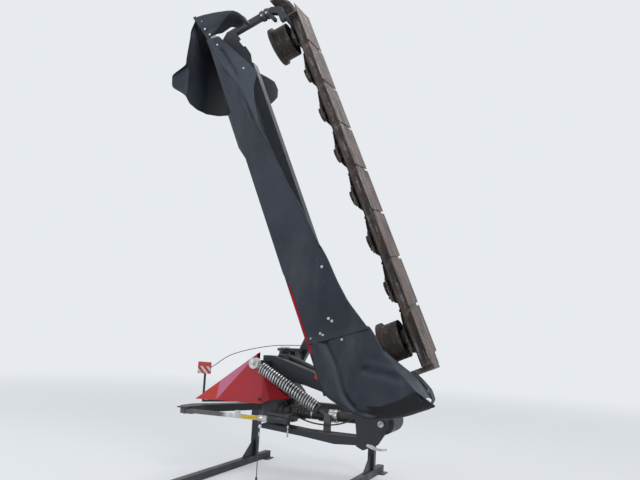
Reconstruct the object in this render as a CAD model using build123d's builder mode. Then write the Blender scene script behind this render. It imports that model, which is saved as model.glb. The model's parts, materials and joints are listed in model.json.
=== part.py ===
"""A rear-mounted disc mower, folded upright for transport and parked on its two legs.

Lengths are in millimetres. The origin is midway between the two lower hitch pins, +X is to the right
of travel, +Y is forward and +Z is up. The mowing unit is drawn in its own directions: "along" runs from
the fold axis out to the far end of the cutter bar, "up" is the side that faces up at work, and Y stays
as it is.
"""

import os
from math import cos, hypot, radians, sin, tan

from build123d import *

# Hitch and parking
HITCH_HEIGHT = 600
SHOULDER_SPREAD = 824
LINK_PIN_R = 14
LINK_PIN_LENGTH = 96
LINK_PIN_SHANK_R = 18
LUG_PLATE = 20
MAST_HEIGHT = 610
TOP_PIN_R = 12.75
TOP_CLEVIS_GAP = 56
TOP_EAR = 16
BEAM_SIZE = 100
BEAM_WALL = 8
BEAM_Y = -110
BEAM_Z = -30
MAST_DEPTH = 70
LEG_X = 600
LEG_SIZE = 60
LEG_WALL = 5
LEG_GAP = 0.3
SOCKET_WALL = 8
SOCKET_HEIGHT = 230
SOCKET_RISE = 10
FOOT_FRONT = 200
FOOT_REAR = -1650
FOOT_PLATE = 8
FOOT_PAD = 150

# Swing of the arm on the king pin
KING_X = -180
KING_Y = -450
KING_R = 28
KING_PLATE = 25
KING_LOW_Z = 170
KING_HIGH_Z = 495
RUNNING_GAP = 0.05
BOX_WALL = 8
SHEET_WALL = 3
SIDE_GAP = 5
SEAT = 0.3

# Fold axis and folded pose
PIVOT_X = 945
PIVOT_Z = 0
FOLD_ANGLE = 113
FOLD_PIN_R = 24
EAR = 20
FRONT_EAR_Y = -670
REAR_EAR_Y = -1010

# Arm, gearboxes and drive
ARM_Y = -720
ARM_WIDTH = 100
ARM_LEFT = (-170, 370)
ARM_RIGHT = (745, 125)
ARM_CROSS = 80
SHAFT_Y = -850
SHAFT_Z = 0
INPUT_Z = 110
GEARBOX_LEFT = -150
GEARBOX_RIGHT = 40
GEARBOX_FRONT = -620
GEARBOX_REAR = -950
GEARBOX_TOP = 100
TOWER_TOP = 190
TOWER_HALF = 80
GEARBOX_BOTTOM = -95
INPUT_SHAFT_R = 17.45
INPUT_SHAFT_LENGTH = 120
INPUT_COLLAR_R = 22
INPUT_COLLAR_STEP = 8
SPLINES = 6
SPLINE_GROOVE = 4
GUARD_TUBE_R = 42
GUARD_BELL_R = 60
GUARD_BELL = 60
GUARD_RING = 360
GUARD_RING_WIDTH = 110
GUARD_RIDGE = 8
PIVOT_BOX_R = 88
PIVOT_CAP_R = 62

# Spring beside the arm
SPRING_Y = -925
SPRING_TOP = (-235, 387)
SPRING_END = (400, 38)
SPRING_R = 44
SPRING_WIRE_R = 6.5
SPRING_TURNS = 21
SPRING_SIDES = 12

# Lift cylinder
LIFT_Y = -560
LIFT_ANCHOR = (-100, 440)
LIFT_LUG = (246, 172)
LIFT_BARREL_R = 35
LIFT_ROD_R = 18
LIFT_BARREL_LENGTH = 640
LIFT_PIN_R = 14

# Safety link
LINK_Y = -1060
LINK_Z = -50
LINK_LEFT = -825
LINK_RIGHT = 155
LINK_BAR_HEIGHT = 36
LINK_BAR_THICK = 12
LINK_BORE_R = 20
LINK_SLEEVE_R = 25
LINK_SLEEVE_LENGTH = 260

# Cutter bar, in the mowing unit's own directions
DISC_COUNT = 8
DISC_PITCH = 400
DISC_FIRST = 540
DISC_Y = -1130
BAR_START = 284
BAR_END = 3420
BAR_FRONT = -1000
BAR_REAR = -1290
BAR_TOP = -505
BAR_BOTTOM = -590
BAR_WALL = 10
SKID_REAR = -1350
SKID_PLATE = 6
SKID_GAP = 24
DISC_CORNER_R = 190
DISC_FILLET = 80
DISC_BOTTOM = -480
DISC_RIM = 6
DISC_HUB_TOP = -428
KNIFE_TIP_R = 250
KNIFE_ROOT_R = 120
KNIFE_WIDTH = 48
KNIFE_THICK = 5
DRUM_TOP = -262
DRUM_BASE_R = 148
DRUM_TOP_R = 172
DRUM_WALL = 5

# Canopy
CANOPY_START = 300
CANOPY_END = 3290
CANOPY_FRONT = -990
CANOPY_REAR = -1750
RAIL_UP = 85
RAIL_SIZE = 30
CANOPY_BEAM_Y = -1150
CANOPY_BEAM_UP = 22
CANOPY_BEAM_SIZE = 90
RIB_COUNT = 4
RIB_WIDTH = 50
CLOTH = 5
TOP_CROWN = 34
CURTAIN_TOP = 80
FRONT_CURTAIN_LOW = 30

os.makedirs("parts", exist_ok=True)

FOLD = radians(FOLD_ANGLE)
ALONG = Vector(cos(FOLD), 0, sin(FOLD))
UP = Vector(-sin(FOLD), 0, cos(FOLD))
PIVOT = Vector(PIVOT_X, 0, PIVOT_Z)


def rear_view(y):
    """A plane across the machine at y: sketches hold (X, Z), and extrusions go rearward."""
    return Plane(origin=(0, y, 0), x_dir=(1, 0, 0), z_dir=(0, -1, 0))


def unit_side(y):
    """The same across the mowing unit: sketches hold (along, up), and extrusions go rearward."""
    return Plane(origin=PIVOT + Vector(0, y, 0), x_dir=ALONG, z_dir=(0, -1, 0))


def unit_top(up):
    """A plane level with the cutter bar: sketches hold (along, Y), and extrusions go up."""
    return Plane(origin=PIVOT + UP * up, x_dir=ALONG, z_dir=UP)


def unit_cross(along):
    """A plane square to the cutter bar: sketches hold (Y, up), and extrusions go outward."""
    return Plane(origin=PIVOT + ALONG * along, x_dir=(0, 1, 0), z_dir=ALONG)


def on_unit(along, y, up):
    """A point given in the mowing unit's directions."""
    return PIVOT + ALONG * along + Vector(0, y, 0) + UP * up


def save(builder, name):
    """Labels a finished piece and writes its file."""
    builder.part.label = name
    export_step(builder.part, f"parts/{name}.step")


# Headstock
LUG_OUTER = SHOULDER_SPREAD / 2
BEAM_TOP = BEAM_Z + BEAM_SIZE / 2
BEAM_BOTTOM = BEAM_Z - BEAM_SIZE / 2
BEAM_FRONT_Y = BEAM_Y + BEAM_SIZE / 2
BEAM_REAR_Y = BEAM_Y - BEAM_SIZE / 2
MAST_TOP = MAST_HEIGHT + 60
MAST_FOOT_HALF = 400
MAST_TOP_HALF = 95
MAST_TUBE = 85
MAST_BRIDGE = 110
LUG_RADIUS = 42
KING_BOX_HALF = 55
KING_BOX_REAR = -340
KING_REACH = 70
CLEVIS_HALF = TOP_CLEVIS_GAP / 2 + TOP_EAR

SOCKET_SIZE = LEG_SIZE + 2 * (LEG_GAP + SOCKET_WALL)
BEAM_HALF_LENGTH = LEG_X - SOCKET_SIZE / 2
with BuildPart() as hitch_frame:
    with BuildSketch(Plane.YZ.offset(-BEAM_HALF_LENGTH)):
        with Locations((BEAM_Y, BEAM_Z)):
            Rectangle(BEAM_SIZE, BEAM_SIZE)
            Rectangle(BEAM_SIZE - 2 * BEAM_WALL, BEAM_SIZE - 2 * BEAM_WALL, mode=Mode.SUBTRACT)
    extrude(amount=2 * BEAM_HALF_LENGTH)
    for side in (-1, 1):
        # Lower lug plate with its pin hole, in front of the beam
        with BuildSketch(Plane.YZ.offset(side * (LUG_OUTER - LUG_PLATE / 2))):
            with BuildLine():
                Polyline(
                    (BEAM_FRONT_Y - 5, BEAM_TOP),
                    (-8, LUG_RADIUS),
                    (LUG_RADIUS, 16),
                    (LUG_RADIUS, -20),
                    (-8, -LUG_RADIUS - 4),
                    (BEAM_FRONT_Y - 5, BEAM_BOTTOM),
                    close=True,
                )
            make_face()
        extrude(amount=LUG_PLATE / 2, both=True)
    with Locations(Plane.YZ.offset(BEAM_HALF_LENGTH + 200)):
        Hole(radius=LINK_PIN_SHANK_R, depth=2 * BEAM_HALF_LENGTH + 400)
save(hitch_frame, "hitch_frame")

with BuildPart() as leg_sockets:
    for side in (-1, 1):
        with BuildSketch(Plane.XY.offset(BEAM_TOP + SOCKET_RISE)):
            with Locations((side * LEG_X, BEAM_Y)):
                Rectangle(SOCKET_SIZE, SOCKET_SIZE)
                Rectangle(LEG_SIZE + 2 * LEG_GAP, LEG_SIZE + 2 * LEG_GAP, mode=Mode.SUBTRACT)
        extrude(amount=-SOCKET_HEIGHT)
save(leg_sockets, "leg_sockets")

# Mast with the two ears of the top link clevis
with BuildPart() as mast:
    with BuildSketch(rear_view(BEAM_Y + MAST_DEPTH / 2)):
        with BuildLine():
            Polyline(
                (-MAST_FOOT_HALF, BEAM_TOP),
                (MAST_FOOT_HALF, BEAM_TOP),
                (MAST_TOP_HALF, MAST_TOP),
                (-MAST_TOP_HALF, MAST_TOP),
                close=True,
            )
        make_face()
        with BuildLine():
            Polyline(
                (-MAST_FOOT_HALF + MAST_TUBE, BEAM_TOP),
                (MAST_FOOT_HALF - MAST_TUBE, BEAM_TOP),
                (MAST_TOP_HALF - MAST_TUBE / 4, MAST_HEIGHT - MAST_BRIDGE),
                (-MAST_TOP_HALF + MAST_TUBE / 4, MAST_HEIGHT - MAST_BRIDGE),
                close=True,
            )
        make_face(mode=Mode.SUBTRACT)
    extrude(amount=MAST_DEPTH)
    for side in (-1, 1):
        with BuildSketch(Plane.YZ.offset(side * (TOP_CLEVIS_GAP + TOP_EAR) / 2)):
            with BuildLine():
                Polyline(
                    (BEAM_Y, MAST_TOP - 10),
                    (BEAM_Y, MAST_HEIGHT - MAST_BRIDGE - 10),
                    (-30, MAST_HEIGHT - 45),
                    (28, MAST_HEIGHT - 30),
                    (28, MAST_HEIGHT + 30),
                    (-30, MAST_TOP - 10),
                    close=True,
                )
            make_face()
        extrude(amount=TOP_EAR / 2, both=True)
    with Locations(Plane.YZ.offset(CLEVIS_HALF + 40)):
        with Locations((0, MAST_HEIGHT)):
            Hole(radius=TOP_PIN_R, depth=2 * CLEVIS_HALF + 80)
save(mast, "mast")

# King post box behind the left side of the mast, and the two plates that hold the king pin
MAST_REAR = BEAM_Y - MAST_DEPTH / 2
KING_BOX_Y = (MAST_REAR + KING_BOX_REAR) / 2
with BuildPart() as king_bracket:
    with BuildSketch(Plane.XY.offset(KING_LOW_Z - KING_PLATE)):
        with Locations((KING_X, KING_BOX_Y)):
            Rectangle(2 * KING_BOX_HALF, MAST_REAR - KING_BOX_REAR)
    extrude(amount=KING_HIGH_Z + KING_PLATE - KING_LOW_Z + KING_PLATE)
    with BuildSketch(Plane.XY.offset(KING_LOW_Z)):
        with Locations((KING_X, KING_BOX_Y)):
            Rectangle(2 * (KING_BOX_HALF - BOX_WALL), MAST_REAR - KING_BOX_REAR - 2 * BOX_WALL)
    extrude(amount=KING_HIGH_Z - KING_LOW_Z, mode=Mode.SUBTRACT)
    for low in (KING_LOW_Z - KING_PLATE, KING_HIGH_Z):
        with BuildSketch(Plane.XY.offset(low)):
            with BuildLine():
                Line((KING_X - KING_REACH, MAST_REAR), (KING_X - KING_REACH, KING_Y))
                ThreePointArc(
                    (KING_X - KING_REACH, KING_Y),
                    (KING_X, KING_Y - KING_REACH),
                    (KING_X + KING_REACH, KING_Y),
                )
                Line((KING_X + KING_REACH, KING_Y), (KING_X + KING_REACH, MAST_REAR))
                Line((KING_X + KING_REACH, MAST_REAR), (KING_X - KING_REACH, MAST_REAR))
            make_face()
        extrude(amount=KING_PLATE)
    with Locations((KING_X, KING_Y, KING_HIGH_Z + KING_PLATE)):
        Hole(radius=KING_R + RUNNING_GAP, depth=KING_HIGH_Z - KING_LOW_Z + 3 * KING_PLATE)
save(king_bracket, "king_bracket")

# Lower hitch pins: a thick shank through the lug, a head behind it and the free end outside
PIN_HEAD = 18
with BuildPart() as lower_link_pins:
    for side in (-1, 1):
        with BuildSketch(Plane.YZ.offset(side * LUG_OUTER)):
            Circle(LINK_PIN_R)
        extrude(amount=side * LINK_PIN_LENGTH)
        with BuildSketch(Plane.YZ.offset(side * LUG_OUTER)):
            Circle(LINK_PIN_SHANK_R)
        extrude(amount=-side * LUG_PLATE)
        with BuildSketch(Plane.YZ.offset(side * (LUG_OUTER - LUG_PLATE))):
            RegularPolygon(radius=LINK_PIN_SHANK_R + 10, side_count=6)
        extrude(amount=-side * PIN_HEAD)
save(lower_link_pins, "lower_link_pins")

with BuildPart() as king_pin:
    with BuildSketch(Plane.XY.offset(KING_LOW_Z - KING_PLATE - 22)):
        with Locations((KING_X, KING_Y)):
            Circle(KING_R)
    extrude(amount=KING_HIGH_Z - KING_LOW_Z + 2 * KING_PLATE + 22)
    with BuildSketch(Plane.XY.offset(KING_HIGH_Z + KING_PLATE)):
        with Locations((KING_X, KING_Y)):
            Circle(KING_R + 14)
    extrude(amount=14)
    chamfer(king_pin.faces().sort_by(Axis.Z)[-1].edges(), 3)
save(king_pin, "king_pin")

# Outrigger that carries the left end of the safety link
OUTRIGGER_TOP = -15
OUTRIGGER_DEPTH = 65
TAB_THICK = 10
with BuildPart() as outrigger:
    with BuildSketch(Plane.XY.offset(OUTRIGGER_TOP - OUTRIGGER_DEPTH)):
        with BuildLine():
            Polyline(
                (-430, BEAM_REAR_Y),
                (-535, BEAM_REAR_Y),
                (-900, -830),
                (-900, LINK_Y + 30),
                (LINK_LEFT + 55, LINK_Y + 30),
                (-760, -830),
                close=True,
            )
        make_face()
    extrude(amount=OUTRIGGER_DEPTH)
    fillet(outrigger.edges().filter_by(Axis.Z).sort_by(Axis.X)[:2], 25)
    with BuildSketch(Plane.XY.offset(OUTRIGGER_TOP - OUTRIGGER_DEPTH + BOX_WALL)):
        with BuildLine():
            Polyline(
                (-450, BEAM_REAR_Y - BOX_WALL),
                (-525, BEAM_REAR_Y - BOX_WALL),
                (-880, -830),
                (-880, -960),
                (-790, -960),
                (-780, -830),
                close=True,
            )
        make_face()
    extrude(amount=OUTRIGGER_DEPTH - 2 * BOX_WALL, mode=Mode.SUBTRACT)
    with BuildSketch(Plane.XY.offset(OUTRIGGER_TOP)):
        with Locations((LINK_LEFT, LINK_Y + 15)):
            Rectangle(90, 130)
    extrude(amount=-TAB_THICK)
save(outrigger, "outrigger")

# Safety link: a flat bar hinged on the outrigger, and the sleeve that slides over it when the arm swings back
LINK_PLATE_LOW = LINK_Z + LINK_SLEEVE_R + SIDE_GAP
LINK_EYE_R = 27
LINK_PIVOT_R = 14
SLEEVE_LEFT = LINK_RIGHT - LINK_SLEEVE_LENGTH
BAR_HIDDEN = 40
ROPE_TAB_DROP = 26
with BuildPart() as link_bar:
    with BuildSketch(Plane.YZ.offset(LINK_LEFT - 30)):
        with Locations((LINK_Y, LINK_Z)):
            Rectangle(LINK_BAR_THICK, LINK_BAR_HEIGHT)
    extrude(amount=SLEEVE_LEFT + BAR_HIDDEN - LINK_LEFT + 30)
    with BuildSketch(Plane.XY.offset(OUTRIGGER_TOP - TAB_THICK - SEAT)):
        with Locations((LINK_LEFT, LINK_Y)):
            Circle(LINK_PIVOT_R)
    extrude(amount=LINK_Z - LINK_BAR_HEIGHT / 2 - 10 - OUTRIGGER_TOP + TAB_THICK + SEAT)
save(link_bar, "link_bar")

with BuildPart() as link_sleeve:
    with BuildSketch(Plane.YZ.offset(SLEEVE_LEFT)):
        with Locations((LINK_Y, LINK_Z)):
            Circle(LINK_SLEEVE_R)
    extrude(amount=LINK_SLEEVE_LENGTH)
    with BuildSketch(Plane.XY.offset(LINK_Z - LINK_SLEEVE_R)):
        with Locations((LINK_RIGHT, LINK_Y)):
            Circle(LINK_EYE_R)
    extrude(amount=LINK_PLATE_LOW - SEAT - LINK_Z + LINK_SLEEVE_R)
    with BuildSketch(rear_view(LINK_Y + 3)):
        with Locations((SLEEVE_LEFT + 15, LINK_Z - LINK_SLEEVE_R - ROPE_TAB_DROP / 2 + 3)):
            Rectangle(24, ROPE_TAB_DROP + 6)
    extrude(amount=6)
    with BuildSketch(Plane.YZ.offset(SLEEVE_LEFT)):
        with Locations((LINK_Y, LINK_Z)):
            Circle(LINK_BORE_R)
    extrude(amount=LINK_SLEEVE_LENGTH - LINK_EYE_R, mode=Mode.SUBTRACT)
save(link_sleeve, "link_sleeve")

# Pull rope of the latch, hanging straight down from the sleeve's tab
ROPE_R = 3.5
ROPE_LENGTH = 440
ROPE_TOP = LINK_Z - LINK_SLEEVE_R - ROPE_TAB_DROP
with BuildPart() as pull_rope:
    with BuildSketch(Plane.XY.offset(ROPE_TOP)):
        with Locations((SLEEVE_LEFT + 15, LINK_Y)):
            Circle(ROPE_R)
    extrude(amount=-ROPE_LENGTH)
save(pull_rope, "pull_rope")

# Parking legs
FLOOR = -HITCH_HEIGHT
LEG_TOP = BEAM_TOP + 90
for name, side in (("parking_leg_left", -1), ("parking_leg_right", 1)):
    with BuildPart() as leg:
        with BuildSketch(Plane.XY.offset(FLOOR + FOOT_PLATE)):
            with Locations((side * LEG_X, BEAM_Y)):
                Rectangle(LEG_SIZE, LEG_SIZE)
        extrude(amount=LEG_TOP - FLOOR - FOOT_PLATE)
        with BuildSketch(Plane.XZ.offset(-FOOT_FRONT)):
            with Locations((side * LEG_X, FLOOR + FOOT_PLATE + LEG_SIZE / 2)):
                Rectangle(LEG_SIZE, LEG_SIZE)
        extrude(amount=FOOT_FRONT - FOOT_REAR)
        with BuildSketch(Plane.XZ.offset(-FOOT_FRONT - 1)):
            with Locations((side * LEG_X, FLOOR + FOOT_PLATE + LEG_SIZE / 2)):
                Rectangle(LEG_SIZE - 2 * LEG_WALL, LEG_SIZE - 2 * LEG_WALL)
        extrude(amount=FOOT_FRONT - FOOT_REAR + 2, mode=Mode.SUBTRACT)
        with BuildSketch(Plane.XY.offset(FLOOR + FOOT_PLATE + LEG_SIZE)):
            with Locations((side * LEG_X, BEAM_Y)):
                Rectangle(LEG_SIZE - 2 * LEG_WALL, LEG_SIZE - 2 * LEG_WALL)
        extrude(amount=LEG_TOP - FLOOR - FOOT_PLATE - LEG_SIZE + 1, mode=Mode.SUBTRACT)
        for y in (FOOT_FRONT - FOOT_PAD / 2, FOOT_REAR + FOOT_PAD / 2):
            with BuildSketch(Plane.XY.offset(FLOOR)):
                with Locations((side * LEG_X, y)):
                    RectangleRounded(FOOT_PAD, FOOT_PAD, 20)
            extrude(amount=FOOT_PLATE)
        # Brace between upright and foot tube
        with BuildSketch(Plane.YZ.offset(side * LEG_X - 6)):
            with BuildLine():
                Polyline(
                    (BEAM_Y - LEG_SIZE / 2 + 5, FLOOR + 230),
                    (BEAM_Y - LEG_SIZE / 2 + 5, FLOOR + FOOT_PLATE + LEG_SIZE - 5),
                    (BEAM_Y - 260, FLOOR + FOOT_PLATE + LEG_SIZE - 5),
                    close=True,
                )
            make_face()
        extrude(amount=12)
        with Locations(Plane.YZ.offset(side * LEG_X + LEG_SIZE)):
            with Locations((BEAM_Y, LEG_TOP - 30)):
                Hole(radius=9, depth=2 * LEG_SIZE)
    save(leg, name)

# Swing arm: barrel, rearward stub, sloping box beam, cross member and two ears
BARREL_R = 52
BARREL_LOW = KING_LOW_Z + 3
BARREL_HIGH = KING_HIGH_Z - 3
ARM_REAR = ARM_Y - ARM_WIDTH / 2
ARM_FRONT = ARM_Y + ARM_WIDTH / 2
CROSS_X = ARM_RIGHT[0] + 15
CROSS_Z = ARM_RIGHT[1]
REAR_EAR_OUTLINE = (
    (720, 160),
    (800, 160),
    (985, 52),
    (1006, 0),
    (985, -60),
    (915, -165),
    (800, -215),
    (742, -190),
    (742, -110),
    (720, 60),
)
with BuildPart() as swing_arm:
    with BuildSketch(Plane.XY.offset(BARREL_LOW)):
        with Locations((KING_X, KING_Y)):
            Circle(BARREL_R)
    extrude(amount=BARREL_HIGH - BARREL_LOW)
    with BuildSketch(Plane.XY.offset(ARM_LEFT[1] - 70)):
        with Locations((KING_X, (KING_Y + ARM_REAR) / 2)):
            Rectangle(80, KING_Y - ARM_REAR)
    extrude(amount=140)
    with BuildSketch(rear_view(ARM_FRONT)):
        with BuildLine():
            Polyline(
                (KING_X - 60, ARM_LEFT[1] + 85),
                (KING_X + 40, ARM_LEFT[1] + 85),
                (200, ARM_LEFT[1] - 20),
                (800, 160),
                (800, 90),
                (720, 78),
                (180, ARM_LEFT[1] - 150),
                (KING_X - 60, ARM_LEFT[1] - 70),
                close=True,
            )
        make_face()
    extrude(amount=ARM_WIDTH)
    with BuildSketch(rear_view(ARM_FRONT - BOX_WALL)):
        with BuildLine():
            Polyline(
                (KING_X + 60, ARM_LEFT[1] + 65),
                (200, ARM_LEFT[1] - 32),
                (700, 172),
                (700, 96),
                (180, ARM_LEFT[1] - 138),
                (KING_X + 60, ARM_LEFT[1] - 80),
                close=True,
            )
        make_face()
    extrude(amount=ARM_WIDTH - 2 * BOX_WALL, mode=Mode.SUBTRACT)
    with BuildSketch(rear_view(FRONT_EAR_Y)):
        with Locations((CROSS_X, CROSS_Z)):
            Rectangle(ARM_CROSS, ARM_CROSS)
    extrude(amount=FRONT_EAR_Y - REAR_EAR_Y + EAR)
    with BuildSketch(rear_view(FRONT_EAR_Y)):
        with BuildLine():
            Polyline((740, 160), (800, 160), (985, 52), (985, -52), (900, -60), (740, 60), close=True)
        make_face()
    extrude(amount=EAR)
    with BuildSketch(rear_view(REAR_EAR_Y)):
        with BuildLine():
            Polyline(*REAR_EAR_OUTLINE, close=True)
        make_face()
    extrude(amount=EAR)
    # Bracket that carries the top of the spring
    with BuildSketch(Plane.XY.offset(SPRING_TOP[1] - 25)):
        with BuildLine():
            Polyline(
                (KING_X - 60, ARM_REAR + 5),
                (KING_X + 30, ARM_REAR + 5),
                (SPRING_TOP[0] + 25, SPRING_Y + 20),
                (SPRING_TOP[0] - 30, SPRING_Y + 20),
                close=True,
            )
        make_face()
    extrude(amount=50)
    with Locations((KING_X, KING_Y, BARREL_HIGH)):
        Hole(radius=KING_R + RUNNING_GAP, depth=BARREL_HIGH - BARREL_LOW)
    with Locations(rear_view(FRONT_EAR_Y + 40)):
        with Locations((PIVOT_X, PIVOT_Z)):
            Hole(radius=FOLD_PIN_R + RUNNING_GAP, depth=FRONT_EAR_Y - REAR_EAR_Y + 120)
    # Lift cylinder lug, on the front face of the arm
    with BuildSketch(rear_view(LIFT_Y - LIFT_BARREL_R - SIDE_GAP)):
        with BuildLine():
            Polyline(
                (LIFT_ANCHOR[0] - 45, 340),
                (LIFT_ANCHOR[0] + 60, 330),
                (LIFT_ANCHOR[0] + 28, LIFT_ANCHOR[1] + 28),
                (LIFT_ANCHOR[0] - 28, LIFT_ANCHOR[1] + 28),
                close=True,
            )
        make_face()
    extrude(amount=LIFT_Y - LIFT_BARREL_R - SIDE_GAP - ARM_FRONT + 30)
save(swing_arm, "swing_arm")

PIVOT_BOX_FRONT = FRONT_EAR_Y - EAR - SEAT
PIVOT_BOX_BACK = REAR_EAR_Y + SEAT
FOLD_PIN_FRONT = FRONT_EAR_Y + SIDE_GAP + EAR + 14
FOLD_PIN_REAR = REAR_EAR_Y - EAR - SIDE_GAP - EAR - 14
with BuildPart() as fold_pins:
    for start, end in ((FOLD_PIN_FRONT, PIVOT_BOX_FRONT + SEAT), (PIVOT_BOX_BACK - SEAT, FOLD_PIN_REAR)):
        with BuildSketch(rear_view(start)):
            with Locations((PIVOT_X, PIVOT_Z)):
                Circle(FOLD_PIN_R)
        extrude(amount=start - end)
save(fold_pins, "fold_pins")

# Gearbox under the arm: housing, bearing bosses, hanger and plate for the safety link
LINK_PLATE = 18


def arm_underside(x):
    """Height of the arm's lower face at x, between its left end and the bend."""
    return ARM_LEFT[1] - 70 - 80 * (x - KING_X + 60) / (180 - KING_X + 60)


with BuildPart() as gearbox:
    with BuildSketch(Plane.XY.offset(GEARBOX_BOTTOM)):
        with Locations(((GEARBOX_LEFT + GEARBOX_RIGHT - 24) / 2, (ARM_REAR + GEARBOX_REAR) / 2 + 15)):
            RectangleRounded(GEARBOX_RIGHT - 24 - GEARBOX_LEFT, ARM_REAR - GEARBOX_REAR - 10, 30)
    extrude(amount=GEARBOX_TOP - GEARBOX_BOTTOM)
    with BuildSketch(Plane.XY.offset(GEARBOX_BOTTOM)):
        with Locations((0, (GEARBOX_FRONT + ARM_REAR - 15) / 2)):
            RectangleRounded(2 * TOWER_HALF, GEARBOX_FRONT - ARM_REAR - 25, 25)
    extrude(amount=TOWER_TOP - GEARBOX_BOTTOM)
    chamfer(gearbox.faces().sort_by(Axis.Z)[-1].edges(), 12)
    with BuildSketch(Plane.YZ.offset(GEARBOX_RIGHT - 60)):
        with Locations((SHAFT_Y, SHAFT_Z)):
            Circle(72)
    extrude(amount=60)
    with BuildSketch(rear_view(GEARBOX_FRONT)):
        with Locations((0, INPUT_Z)):
            Circle(62)
    extrude(amount=60)
    with BuildSketch(Plane.XY.offset(LINK_PLATE_LOW)):
        with BuildLine():
            Polyline(
                (-60, -880),
                (0, -880),
                (25, -938),
                (LINK_RIGHT + LINK_EYE_R, -1010),
                (LINK_RIGHT + LINK_EYE_R, LINK_Y - LINK_EYE_R),
                (LINK_RIGHT - LINK_EYE_R, LINK_Y - LINK_EYE_R),
                (-60, -990),
                close=True,
            )
        make_face()
    extrude(amount=LINK_PLATE)
    with BuildSketch(rear_view(ARM_REAR + 60)):
        with BuildLine():
            Polyline(
                (-50, TOWER_TOP - 10),
                (50, TOWER_TOP - 10),
                (50, arm_underside(50) - SEAT),
                (-50, arm_underside(-50) - SEAT),
                close=True,
            )
        make_face()
    extrude(amount=50)
    with Locations(rear_view(GEARBOX_FRONT + 10)):
        with Locations((0, INPUT_Z)):
            Hole(radius=INPUT_COLLAR_R + RUNNING_GAP, depth=60)
save(gearbox, "gearbox")

with BuildPart() as input_shaft:
    with BuildSketch(rear_view(GEARBOX_FRONT + INPUT_SHAFT_LENGTH)):
        with Locations((0, INPUT_Z)):
            Circle(INPUT_SHAFT_R)
            with PolarLocations(INPUT_SHAFT_R, SPLINES):
                Rectangle(5, SPLINE_GROOVE, mode=Mode.SUBTRACT)
    extrude(amount=INPUT_SHAFT_LENGTH - INPUT_COLLAR_STEP)
    with BuildSketch(rear_view(GEARBOX_FRONT + INPUT_COLLAR_STEP)):
        with Locations((0, INPUT_Z)):
            Circle(INPUT_COLLAR_R)
    extrude(amount=50)
save(input_shaft, "input_shaft")

SHIELD_SPAN = 105
SHIELD_R = 88
with BuildPart() as input_shield:
    with BuildSketch(Plane.YZ):
        with BuildLine():
            Polyline(
                (GEARBOX_FRONT - 14, INPUT_Z + 62 + SEAT),
                (GEARBOX_FRONT, INPUT_Z + 62 + SEAT),
                (GEARBOX_FRONT, INPUT_Z + SHIELD_R - 4),
                (GEARBOX_FRONT + SHIELD_SPAN, INPUT_Z + SHIELD_R - 4),
                (GEARBOX_FRONT + SHIELD_SPAN, INPUT_Z + SHIELD_R),
                (GEARBOX_FRONT - 14, INPUT_Z + SHIELD_R),
                close=True,
            )
        make_face()
    revolve(axis=Axis((0, 0, INPUT_Z), (0, 1, 0)))
save(input_shield, "input_shield")

# Faceted guard over the gearbox, pressed from sheet and open at the front and below
GUARD_FRONT = ARM_REAR - SEAT
GUARD_SHIFT = Vector(0, 5, -5)
GUARD_CORNERS = {
    "left": (-900, GUARD_FRONT, 12),
    "rear_left": (-610, -905, 12),
    "rear": (-235, -990, 34),
    "right_rear": (110, -955, 62),
    "right_front": (110, GUARD_FRONT, 62),
    "peak": (-295, -800, 455),
    "peak_left": (-330, GUARD_FRONT, 440),
    "peak_right": (-282, GUARD_FRONT, 455),
    "shoulder_front": (-262, GUARD_FRONT, 350),
    "shoulder_rear": (-262, -830, 350),
}
GUARD_FACETS = (
    ("left", "right_front", "shoulder_front", "peak_right", "peak_left"),
    ("left", "rear_left", "rear"),
    ("left", "rear", "right_rear"),
    ("left", "right_rear", "right_front"),
    ("left", "peak_left", "rear_left"),
    ("rear_left", "peak_left", "peak"),
    ("rear_left", "peak", "rear"),
    ("rear", "peak", "shoulder_rear"),
    ("rear", "shoulder_rear", "right_rear"),
    ("right_rear", "shoulder_rear", "shoulder_front"),
    ("right_rear", "shoulder_front", "right_front"),
    ("peak_left", "peak_right", "peak"),
    ("peak", "peak_right", "shoulder_front"),
    ("peak", "shoulder_front", "shoulder_rear"),
)


def faceted_solid(corners, facets, shift):
    """A closed solid bounded by flat facets, moved by a shift."""
    moved = {name: Vector(*point) + shift for name, point in corners.items()}
    return Solid(Shell([Face(Wire.make_polygon([moved[n] for n in names], close=True)) for names in facets]))


with BuildPart() as gearbox_guard:
    add(faceted_solid(GUARD_CORNERS, GUARD_FACETS, Vector(0, 0, 0)))
    add(faceted_solid(GUARD_CORNERS, GUARD_FACETS, GUARD_SHIFT), mode=Mode.SUBTRACT)
save(gearbox_guard, "gearbox_guard")

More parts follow.
